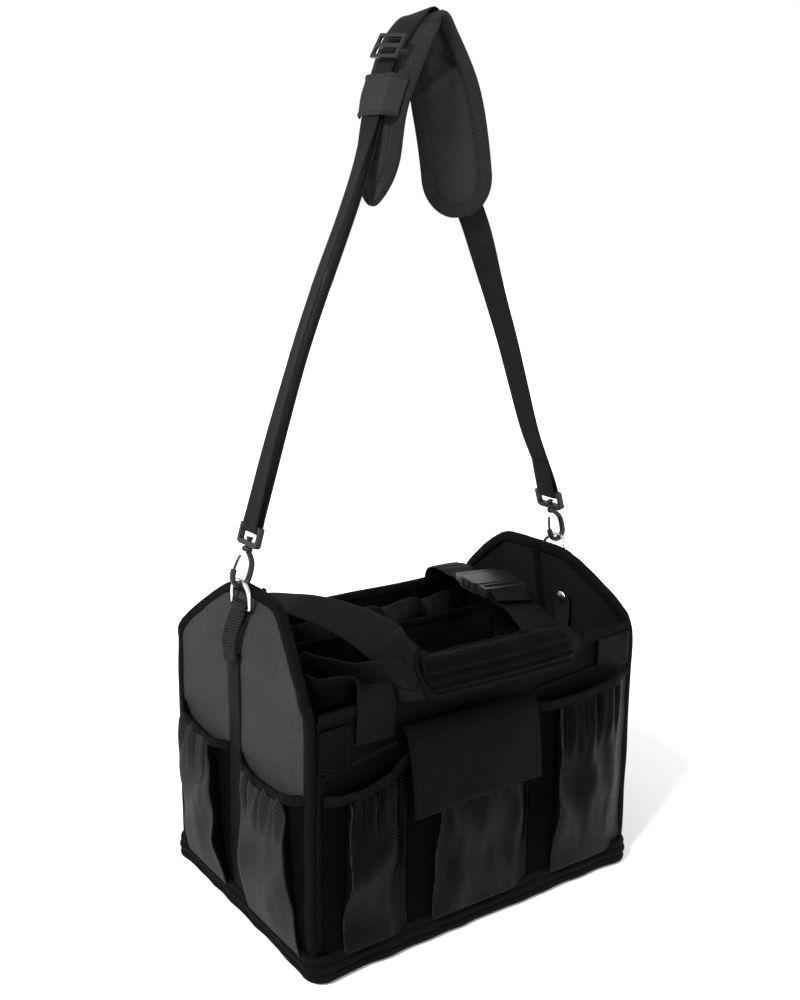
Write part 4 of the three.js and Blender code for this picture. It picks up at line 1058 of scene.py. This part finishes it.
def pad_point(u, s, lift):
    """A point of the pad: s from -1 to 1 across, lift in mm off its middle surface."""
    u = inset(u)
    half = max(pad_half(u), 1.2)
    curl = 1.8 * s * s
    fold = 6.0 * bell(u - 0.60, 0.05) * math.sin(3.4 * s + 14 * (u - 0.6))
    fold += 2.0 * bell(u - 0.40, 0.03) * math.cos(3 * s)
    fold += 7.0 * bell(u - 0.60 - 0.05 * s, 0.013) - 6.0 * bell(u - 0.655 + 0.035 * s, 0.014)
    buckled = ripple((u * 330, s * 34, 4), 30.0, 2.8) + ripple((u * 330, s * 34, 9), 12.0, 0.9)
    share = 1.0 if lift < 0 else 0.15       # the outer face lies flat under the web
    creased = share * (fold * 1.3 + buckled) * (1 - s * s)
    return PAD_ROUTE.beside(u, s * half, PAD_OUT * (lift - curl + creased))


def make_pad():
    """The padded body, its bound edge and the stitch line beside the binding."""
    def place(u, v):
        angle = 2 * math.pi * v
        s = math.cos(angle)
        crown = math.copysign(abs(math.sin(angle)) ** 0.75, math.sin(angle))
        quilt = 1 - 0.35 * bell(abs(s) - 0.72, 0.09)
        share = pad_half(inset(u)) / PAD_HALF
        thick = PAD_THICK / 2 * (0.35 + 0.65 * share)
        return pad_point(u, s * 0.97, crown * quilt * thick)
    body = grid("shoulder_pad_body", (150, 32), place, (330, 150), PAD_CLOTH, around=True, caps=True)
    settle(body, "shoulder_strap", "charcoal_fabric", "shoulder_pad")
    edge = []
    wide = []
    count = 120
    for k in range(2 * count):
        u = (k / count) if k < count else 2 - k / count
        s = 1 if k < count else -1
        turn = 0.5 - 0.5 * math.cos(math.pi * u)
        u = u * 0.25 + turn * 0.75
        edge.append(pad_point(u, s, 0.0))
        wide.append(PAD_ROUTE.frame(u)[2])
    trim("pad_binding", edge, wide, (7.4, PAD_BINDING, 12, 3.0), "shoulder_strap", "charcoal_fabric",
         material=GREY_TAPE, closed=True)
    lines = []
    for s in (0.72, -0.72):
        for face in (1, -1):
            row = []
            for k in range(61):
                u = 0.04 + 0.92 * k / 60
                normal = PAD_ROUTE.frame(u)[2] * face * PAD_OUT
                row.append((pad_point(u, s, face * (PAD_THICK / 2 * 0.72)), normal))
            lines.append(row)
    sew("pad_stitches", lines, "shoulder_strap", "charcoal_fabric", pitch=4.2, long=3.0)


def make_sleeve(name, u0, u1, rise, node):
    """A cloth sleeve sewn to the pad's edges, which holds the web down."""
    def place(u, v):
        s = 2 * v - 1
        lift = PAD_THICK / 4 + 1.4 + rise * smooth((1 - abs(s)) / 0.42)
        lift += ripple((u * 30, s * 30, rise), 14.0, 1.0)
        return PAD_ROUTE.beside(u0 + u * (u1 - u0), s * (PAD_HALF + PAD_BINDING / 2 - 1.5), PAD_OUT * lift)
    long = PAD_ROUTE.length * (u1 - u0)
    obj = grid(name, (18, 36), place, (long, 72), PAD_CLOTH, 1.3)
    settle(obj, "shoulder_strap", "charcoal_fabric", node)
    for end, u in (("low", 0.0), ("high", 1.0)):
        line = [place(u, v / 24) for v in range(25)]
        wide = PAD_ROUTE.frame(u0 + u * (u1 - u0))[2]
        trim(f"{name}_{end}_hem", line, wide, (2.6, 4.2, 10, 2.4), "shoulder_strap", "charcoal_fabric",
             material=GREY_TAPE)


def make_strap():
    make_left_web()
    make_right_web()
    make_pad()
    make_sleeve("left_sleeve", 0.21, 0.3, 8.4, "left_pad_sleeve")
    make_sleeve("right_sleeve", 0.7, 0.81, 6.6, "right_pad_sleeve")
    finish_cad_node("strap_slider", HOOK_PLASTIC, 0.6)
    for side in ENDS:
        finish_cad_node(f"{side}_swivel_eye", HOOK_PLASTIC, 0.8)


# ------------------------------------------------------------------ carry handle
GRIP_UP = Vector((0, math.cos(GRIP_TILT), math.sin(GRIP_TILT)))
GRIP_OUT = Vector((0, -math.sin(GRIP_TILT), math.cos(GRIP_TILT)))


def grip_point(x, across, off):
    """A point of the grip: across its width, and off its middle plane."""
    return Vector((x, GRIP_Y, GRIP_Z)) + GRIP_UP * across + GRIP_OUT * off


def grip_surface(u, v):
    """The wrap round the grip. Two sewn channels run along it, and its ends are rounded off."""
    x0, x1 = GRIP_SPAN
    angle = 2 * math.pi * v
    c = math.cos(angle)
    s = math.sin(angle)
    x = x0 + 1.5 + u * (x1 - x0 - 3)
    end = max(0.0, abs(2 * u - 1) - 0.9) / 0.1
    half = GRIP_HALF - 4.5 * (1 - math.sqrt(1 - min(end, 1.0) ** 2))
    across = half * math.copysign(abs(c) ** 0.8, c)
    channels = 1 - 0.36 * bell(c + 0.12, 0.05) - 0.36 * bell(c + 0.60, 0.05)
    plump = 0.94 + 0.06 * math.sin(math.pi * u)
    off = GRIP_THICK / 2 * math.copysign(abs(s) ** 0.6, s) * channels * plump
    dent = ripple((x, c * 20, 5), 26.0, 1.4) + ripple((x, c * 20, 8), 9.0, 0.5)
    return grip_point(x, across - 1.2 * math.sin(math.pi * u), off + dent * abs(s))


def make_grip():
    """The padded wrap, the stitching in its channels, and the binding round its outline."""
    x0, x1 = GRIP_SPAN
    obj = grid("grip_wrap", (80, 64), grip_surface, (x1 - x0, 88), BLACK, around=True, caps=True)
    settle(obj, "handle", "black_fabric", "handle_wrap", "handle_core_web")
    lines = []
    for c in (-0.62, -0.12):
        v = math.acos(c) / (2 * math.pi)
        for face in (v, 1 - v):
            out = GRIP_OUT if face < 0.5 else -GRIP_OUT
            lines.append([(grip_surface(0.04 + 0.92 * k / 40, face) + out * 0.4, out) for k in range(41)])
    sew("grip_stitches", lines, "handle", "black_fabric")
    outline = rounded_rectangle((x1 - x0) / 2 - 1, GRIP_HALF + 0.2, 9.0)
    middle = (x0 + x1) / 2
    line = []
    for start, end in zip(outline, outline[1:] + outline[:1]):
        parts = max(1, round(math.dist(start, end) / 5))
        for k in range(parts):
            x, across = (a + (b - a) * k / parts for a, b in zip(start, end))
            wave = ripple((x, across, 3), 9.0, 1.1)
            line.append(grip_point(middle + x, across + wave - 1.2 * math.cos(x / 60), 0.6 * wave))
    trim("grip_binding", line, GRIP_OUT, (10.0, 4.6, 12, 2.6), "handle", closed=True)


def cross_box(path, u0, u1, lift):
    """A sewn box with a cross in it, on a handle web's route."""
    def at(u, v):
        normal = path.frame(u)[2] * (1 if lift > 0 else -1)
        return path.beside(u, (v - 0.5) * HANDLE_WEB, lift), normal
    v0, v1 = 0.1, 0.9
    corners = ((u0, v0), (u1, v0), (u1, v1), (u0, v1), (u0, v0), (u1, v1))
    lines = []
    for (a, b), (c, d) in list(zip(corners, corners[1:])) + [((u1, v0), (u0, v1))]:
        lines.append([at(a + (c - a) * k / 6, b + (d - b) * k / 6) for k in range(7)])
    return lines


FRONT_OUT = FACE_Y - 3.0
FRONT_IN = FACE_Y + 7.0
FRONT_LEFT = [
    ((-115, FRONT_OUT, 199), ALONG_X), ((-115, FRONT_OUT, 218), ALONG_X),
    ((-115, FRONT_OUT - 0.3, 233), ALONG_X), ((-116, FRONT_OUT + 3, 242), ALONG_X),
    ((-120, -117, 245.5), (0.9, 0.1, -0.4)), ((-132, -106, 241), (0.6, 0.2, -0.75)),
    ((-147, -95, 236), (0.3, 0.3, -0.9)), ((-154, -81, 238), (0.2, 0.3, -0.93)),
    ((-153, -67, 244), (0.25, 0.4, -0.88)), ((-143, -60, 248), (0.3, 0.5, -0.8)),
    ((-127, -72, 246), (0.33, 0.55, -0.77)), ((-112, -94, 242), (0.3, 0.4, -0.86)),
    ((-99, -114, 243), (0.1, -0.15, -0.98)), ((-87, -127, 246), (0, -0.58, -0.81)),
    ((-72, -131, 246.4), (0, -0.68, -0.73)),
]
BACK_LEFT = [
    ((-127, -FRONT_OUT, 199), ALONG_X), ((-127, -FRONT_OUT, 220), ALONG_X),
    ((-127, -FRONT_OUT, 239), ALONG_X), ((-125, -FRONT_OUT - 6, 250), ALONG_X),
    ((-113, 98, 258), (0.97, 0.15, 0.05)), ((-95, 50, 264), (0.93, 0.2, 0.2)),
    ((-83, 5, 266), (0.9, 0.2, 0.35)), ((-79, -45, 266), (0.8, 0.3, 0.45)),
    ((-81, -85, 264), (0.6, 0.45, 0.6)), ((-84, -108, 259), (0.3, 0.6, 0.7)),
    ((-81, -121, 254), (0.05, 0.66, 0.73)), ((-72, -128.5, 250), (0, 0.68, 0.73)),
]
FRONT_RIGHT = [
    ((72, -131, 247), (0, 0.68, 0.73)), ((85, -131.5, 248), (0, 0.6, 0.8)),
    ((92, -131, 247), (-0.1, 0.45, 0.88)), ((97, -128, 247), (-0.4, 0.4, 0.75)),
    ((101, -123, 247), (-0.8, 0.2, 0.3)), ((105, FRONT_IN, 243), (-1, 0.1, 0)),
    ((111, FRONT_IN + 2, 230), (-1, 0, 0)), ((120, FRONT_IN + 0.6, 216), (-1, 0, 0)),
    ((124, FRONT_IN, 200), (-1, 0, 0)),
]


def bunched(u):
    """The front right web is pinched where it twists behind the grip's end."""
    return 1 - 0.72 * bell(u - 0.36, 0.2)


def make_handle_webs():
    """Webs from the panels into the grip."""
    plans = (
        ("front_left", FRONT_LEFT, (0, -90, 236), (0, -125, 250), 0.03, 0.13, None),
        ("back_left", BACK_LEFT, (0, 110, 258), (0, -118, 258), 0.88, 0.95, None),
        ("front_right", FRONT_RIGHT, (0, -117, 240), (0, -131, 250), 0.80, 0.97, bunched),
    )
    for name, stations, start, end, sewn0, sewn1, narrow in plans:
        skin = web_skin(len(name))
        obj = ribbon(f"{name}_web", stations, HANDLE_WEB, HANDLE_BLACK, 150, WEB_T, skin, narrow)
        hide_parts(f"{name}_handle_web")
        lift = -1.3 if name == "front_left" else 1.3
        box = cross_box(Route(stations), sewn0, sewn1, lift)
        sewing = stitches(f"{name}_web_stitches", box)
        for piece in (obj, sewing):
            tuple(c * MM for c in start)
            tuple(c * MM for c in end)
            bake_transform(piece)


# ------------------------------------------------------------------ buckle and its webs
def to_buckle(x, y, z):
    return Matrix.Rotation(BUCKLE_TURN, 3, "Z") @ Vector((x, y, z)) + Vector(BUCKLE)


def make_buckle():
    finish_cad_node("buckle_socket", PLASTIC, 1.4)
    finish_cad_node("buckle_plug", PLASTIC, 1.0)
    for side in ENDS:
        finish_cad_node(f"buckle_{side}_arm", PLASTIC, 0.8)
    flat = tuple(Matrix.Rotation(BUCKLE_TURN, 3, "Z") @ Vector((1, 0, 0)))

    def beside(*places):
        return [(to_buckle(*place), flat) for place in places]
    front = beside((0, -8, -6), (0, -15, -6), (0, -24, -6), (0, -50, -6.5))
    front += [((84, -90, 250), (0.98, -0.12, 0)), ((74, FRONT_IN + 5, 243), ALONG_X),
              ((71, FRONT_IN + 2.5, 226), ALONG_X), ((71, FRONT_IN + 2.5, 204), ALONG_X)]
    web = ribbon("buckle_front_web", front, HANDLE_WEB, HANDLE_BLACK, 120, WEB_T, web_skin(5))
    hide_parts("back_right_handle_web")
    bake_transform(web)
    tail = beside((0, -5, -3.0), (0, -10, 2.4), (0, -20, 2.6), (-2, -32, 0.5), (-4, -43, -1.5))
    loose = ribbon("buckle_loose_tail", tail, HANDLE_WEB - 1, HANDLE_BLACK, 60, WEB_T, web_skin(9))
    settle(loose, "buckle_plug", "black_webbing")
    back = -FACE_Y + 3.0
    anchor = beside((0, SOCKET_LONG + 5, -4.8), (0, SOCKET_LONG + 12, -4.8), (0, SOCKET_LONG + 24, -5.4))
    anchor += [((133, back - 22, 250), (0.99, -0.08, 0)), ((135, back - 4, 245), ALONG_X),
               ((135, back, 236), ALONG_X), ((135, back, 200), ALONG_X)]
    rear = ribbon("buckle_rear_web", anchor, HANDLE_WEB, HANDLE_BLACK, 90, WEB_T, web_skin(6))
    settle(rear, "caddy", "black_webbing", "buckle_anchor_web")


# ------------------------------------------------------------------ inside
def make_dividers():
    def long_cloth(u, v):
        z = 7 + v * DIVIDER_TALL
        half = END_X - 5.2 - lean("right", z)
        bow = 1.8 * math.sin(2 * math.pi * u + 1) * v
        return Vector(((2 * u - 1) * half, DIVIDER_Y + bow + ripple((u * 300, z, 3), 36.0, 1.8), z))
    fabric("long_divider_cloth", (44, 22), long_cloth, (339, DIVIDER_TALL), LINING, 2.4,
           ["long_divider"])
    line = [long_cloth(k / 40, 1.0) + Vector((0, 0, -2)) for k in range(41)]
    trim("long_divider_tape", line, ALONG_Y, (5.0, 9.0, 12, 3.0))
    seam = [(long_cloth(0.60, v / 20) + Vector((0, -1.6, 0)), Vector((0, -1, 0))) for v in range(20)]
    sew("long_divider_stitches", [seam], slot="black_fabric")

    def cross_cloth(u, v):
        z = 9 + v * 186
        return Vector((61.3 + ripple((z, u * 40, 5), 30.0, 1.0), DIVIDER_Y + 2.6 + u * 44.5, z))
    fabric("cross_divider_cloth", (10, 20), cross_cloth, (45, 186), LINING, 2.0,
           ["cross_divider"])
    trim("cross_divider_tape", [cross_cloth(k / 8, 1.0) for k in range(9)], ALONG_X, (4.6, 8.0, 12, 3.0))


def make_tool_loops():
    """An elastic band on the rear panel's inside, sewn down between five loops."""
    def place(u, v):
        swell = abs(math.sin(LOOPS * math.pi * u))
        y = -FACE_Y - 5.6 - 15 * swell ** 0.6
        return Vector((LOOP_FROM + u * LOOP_RUN, y, LOOP_FOOT + v * (24 + 10 * swell)))
    obj = grid("tool_loop_elastic", (110, 8), place, (310, 36), RIBBED, 1.5)
    settle(obj, "caddy", "black_webbing", "tool_loop_band")


def make_right_end_inside():
    """The gathered pocket inside the right end, and the snap tab that closes over it."""
    def place(u, v):
        y = -92 + u * 116
        z = 120 + v * (212 - 120) - 5 * math.sin(math.pi * u) * v
        out = 4.0 + 3.0 * math.sin(math.pi * u) * v + ripple((y, z, 3), 20.0, 1.6)
        return end_point("right", y, z, -4.0 - out)
    fabric("inner_pocket_cloth", (30, 20), place, (116, 92), LINING, 1.3)
    trim("inner_pocket_tape", [place(k / 30, 1.0) for k in range(31)], ALONG_X, (3.4, 8.0, 10, 2.6))

    def tab(u, v):
        z = 170 + u * 84
        return end_point("right", -38 + (v - 0.5) * 20, z, -14.5 + 7.5 * smooth(u * 1.1 - 0.1))
    strap = grid("snap_tab", (20, 4), tab, (60, 20), WEB, 1.5)
    settle(strap, "caddy", "black_webbing", "snap_strap")
    centre = tab(0.94, 0.5)
    cap = ((0.6, 2.4), (3.0, 2.2), (4.6, 1.6), (5.6, 0.8), (5.8, 0.0))

    def dome(u, v):
        radius, height = cap[round(u * 4)]
        angle = v * 2 * math.pi
        return centre + Vector((-0.8 - height, radius * math.cos(angle), radius * math.sin(angle)))
    stud = grid("snap_cap", (4, 20), dome, (12, 20), STEEL, around=True, caps=True)
    settle(stud, "caddy", "steel")


# ------------------------------------------------------------------ camera, lights and floor
def sun(name, source, strength, spread):
    """A soft distant light that comes from the direction of source."""
    data = bpy.data.lights.new(name, "SUN")
    data.energy = strength
    data.angle = math.radians(spread)
    lamp = bpy.data.objects.new(name, data)
    bpy.context.scene.collection.objects.link(lamp)
    lamp.rotation_euler = Vector(source).to_track_quat("Z", "Y").to_euler()


def make_studio():
    scene = bpy.context.scene
    azimuth, elevation, roll = (math.radians(a) for a in CAMERA_TURN)
    ahead = Vector((-math.sin(azimuth) * math.cos(elevation), math.cos(azimuth) * math.cos(elevation),
                    math.sin(elevation)))
    right = ahead.cross(Vector((0, 0, 1))).normalized()
    upward = right.cross(ahead)
    turned = right * math.cos(roll) + upward * math.sin(roll)
    top = upward * math.cos(roll) - right * math.sin(roll)
    camera = bpy.data.objects.new("camera", bpy.data.cameras.new("camera"))
    scene.collection.objects.link(camera)
    camera.matrix_world = Matrix((turned, top, -ahead)).transposed().to_4x4()
    camera.location = CAMERA_AT
    camera.data.lens = CAMERA_LENS
    camera.data.sensor_width = 36
    camera.data.clip_end = 50
    scene.camera = camera

    floor = bpy.data.objects.new("floor", bpy.data.meshes.new("floor"))
    reach = 9.0
    square = ((-reach, -reach), (reach, -reach), (reach, reach), (-reach, reach))
    floor.data.from_pydata([(x, y, -0.0006) for x, y in square], [], [(0, 1, 2, 3)])
    floor.data.materials.append(floor_paper())
    scene.collection.objects.link(floor)
    floor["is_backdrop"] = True

    world = bpy.data.worlds.new("studio")
    world.use_nodes = True
    sky = world.node_tree.nodes["Background"]
    sky.inputs["Color"].default_value = (1, 1, 1, 1)
    sky.inputs["Strength"].default_value = 1.0
    scene.world = world
    scene.view_settings.view_transform = "Standard"
    sun("key", (-1.0, -0.3, 0.95), 5.0, 14)
    sun("front", (-0.2, -1.0, 0.3), 1.7, 10)


# ------------------------------------------------------------------ the caddy
def make_caddy():
    make_base()
    for side in FACES:
        make_face_panel(side)
        make_face_patches(side)
        make_face_pockets(side)
        make_flap(side)
    for side in ENDS:
        make_end_panel(side)
        make_end_tape(side)
        make_end_pockets(side)
        make_end_web(side)
        make_ring_tab(side)
        make_ring(side)
        make_hook(side)
    make_strap()
    make_grip()
    make_handle_webs()
    make_buckle()
    make_dividers()
    make_tool_loops()
    make_right_end_inside()


make_studio()
make_caddy()


def corners(box):
    return [list(corner) for corner in box]


{"cad": corners(CAD_BOX), "visual": corners(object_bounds())}
